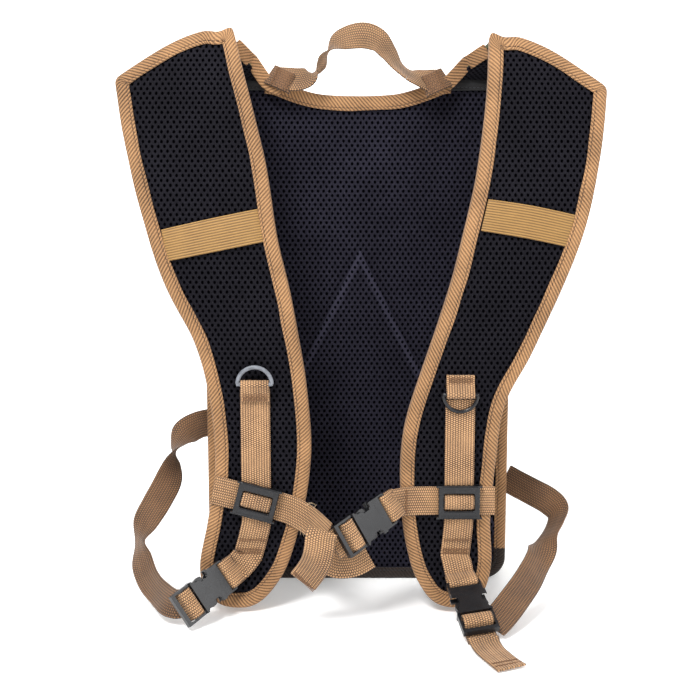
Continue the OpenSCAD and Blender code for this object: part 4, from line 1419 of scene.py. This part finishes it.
# ------------------------------------------------------------------ bag, flap, zips and pocket
def add_shell():
    line = panel_outline(0, 3.0)
    out = -left_of(line)
    depth = np.linspace(0, 1, 24)
    y = SHELL_FRONT + depth * (PACK_D - SHELL_FRONT)
    a, d = np.meshgrid(far_along(line), y, indexing="ij")
    folds = creases(a, d * 0.6, 26, 4.4) * 1.4 + creases(a, d, 11, 8.1) * 0.5
    bulge = np.sin(depth * math.pi)[None, :] * (1.2 + folds) - 1.2
    outer = line[:, None, :] + out[:, None, :] * bulge[..., None]
    inner = line[:, None, :] - out[:, None, :] * BAG_WALL
    sheet("bag_gusset", joined(outer[..., 0], y, outer[..., 1]),
          joined(inner[..., 0], y, inner[..., 1]), (a, d), True, body="pack",
          replaces=("bag_shell",), **CLOTH)


def add_flap():
    x, z = panel_grid(FLAP_INSET, 90, 130)
    far = edge_distance(joined(x, z), panel_outline(FLAP_INSET))
    crown = 2.0 * (1 - np.exp(-far / 22)) + creases(x, z, 50, 6.6) * 1.2 * np.clip(far / 20, 0, 1)
    sheet("rear_flap_cloth", joined(x, FLAP_Y + 1.4 + crown, z),
          joined(x, FLAP_Y + crown * 0.4, z), (x, z), body="flap", replaces=("rear_flap",),
          **CLOTH)


# the front pocket's left, right, bottom and top
POCKET = (-105.0, 105.0, 60.0, 250.0)


def add_pocket():
    u, v = np.meshgrid(np.linspace(-1, 1, 80), np.linspace(-1, 1, 74), indexing="ij")
    x0, x1, z0, z1 = POCKET
    round_u = u * np.sqrt(1 - 0.055 * v ** 8)
    round_v = v * np.sqrt(1 - 0.055 * u ** 8)
    x = (x0 + x1) / 2 + round_u * (x1 - x0) / 2
    z = (z0 + z1) / 2 + round_v * (z1 - z0) / 2
    edge = np.minimum(1 - np.abs(u), 1 - np.abs(v)) * 95
    rise = 14.5 * (1 - np.exp(-edge / 3.0)) * (1 - np.exp(-(edge + 2) / 3.0))
    rise += creases(x, z, 42, 1.7) * 1.1 * np.clip(edge / 10, 0, 1)
    base = FLAP_Y + FLAP_T + 0.4
    outer = joined(x, base + 0.8 + np.minimum(rise + 1.4, 17.2), z)
    inner = joined(x, base + np.maximum(rise - 0.6, 0) * 0.98, z)
    sheet("pocket_cloth", outer, inner, (x, z), body="flap", replaces=("pocket_shell",),
          **CLOTH)


COIL_PITCH = 1.35


def coil(name, line, normal, width, body):
    """Zip teeth across a line."""
    points, _ = spaced(line, COIL_PITCH)
    way = np.gradient(points, axis=0)
    side = np.cross(unit(way), unit(np.broadcast_to(normal, way.shape)))
    return stitches(name, points, side, np.broadcast_to(normal, way.shape), width, 1.1,
                    body=body, **METAL)


def add_zips():
    line = panel_outline(4.5, 2.0)
    keep = line[:, 1] > CORNER_R + 5
    first = np.nonzero(np.diff(keep.astype(int)) == 1)[0][0] + 1
    line = np.roll(line, -first, axis=0)[:keep.sum()]
    way = unit(np.gradient(line, axis=0))
    out = np.stack([way[:, 1], -way[:, 0]], axis=1)
    share = np.linspace(-3, 3, 7)[None, :, None]
    flat = line[:, None, :] + out[:, None, :] * share
    top = joined(flat[..., 0], FLAP_Y + 1.1, flat[..., 1])
    along = np.arange(len(line))[:, None] * 2.0
    sheet("main_zip_tape", top, top - (0, 1.0, 0), (along, share[..., 0]), body="pack",
          replaces=("main_zipper",), **ZIP_CLOTH)
    teeth = joined(line[:, 0], FLAP_Y + 1.5, line[:, 1])
    coil("main_zip_coil", teeth, (0, 1, 0), 4.0, "pack")
    x0, x1 = POCKET[0] + 12, POCKET[1] - 12
    y = FLAP_Y + FLAP_T + 9
    strip = np.array([(x, y, 250.8) for x in np.linspace(x0, x1, 60)])
    ribbon("pocket_zip_tape", np.hstack([strip, np.tile((0, 1, 0), (60, 1))])[::6], 6.0, 0.9,
           rib=0.0, spacing=2.0, body="flap", replaces=("pocket_zipper",), **ZIP_CLOTH)
    coil("pocket_zip_coil", strip + (0, 0, 0.5), (0, 0, 1), 3.4, "flap")
    rounded("pocket_zip_slider", 0.4, 2, body="pocket_zip", **METAL)
    for side in SIDE:
        rounded(side + "_zip_slider", 0.4, 2, body=side + "_zip", **METAL)
        rounded(side + "_zip_pull", 0.3, 2, body=side + "_pull", **METAL)


# ------------------------------------------------------------------ the stage, and all of it
def add_stage(name, corners, material, lift=0.0):
    """One flat face round the object, from corners in metres."""
    mesh = bpy.data.meshes.new(name)
    mesh.from_pydata(corners, [], [(0, 1, 2, 3)])
    face = put(name, mesh)
    face.location.z = lift
    face.data.materials.append(material)


add_camera()
for side in ("left", "right"):
    add_side_webbing(side)
add_studio()
add_stage("backdrop", [(-9, 5.9, -1), (9, 5.9, -1), (9, 5.9, 9), (-9, 5.9, 9)],
          backdrop_paint())
add_stage("floor", [(-6, -4, 0), (6, -4, 0), (6, 6, 0), (-6, 6, 0)], floor_paint(), -0.0006)
for side in ("left", "right"):
    add_strap_pad(side)
    add_strap_binding(side)
    add_keeper(side)
    add_strap_webbing(side)
    add_ring_loop(side)
    add_d_ring(side)
    add_sternum(side)
    add_yoke(side)
add_buckle("sternum", "right_slider", "sternum_buckle",
           ("sternum_prong_upper", "sternum_prong_lower"))
add_buckle("left", "left_strap", "left_buckle", ("left_prong_front", "left_prong_rear"))
add_buckle("right", "right_strap", "right_buckle", ("right_prong_front", "right_prong_rear"))
add_tails()
add_frayed_ends()
add_handle()
add_back_panel()
add_panel_tapes()
add_shell()
add_flap()
add_pocket()
add_zips()

bpy.context.scene.view_settings.view_transform = "Standard"
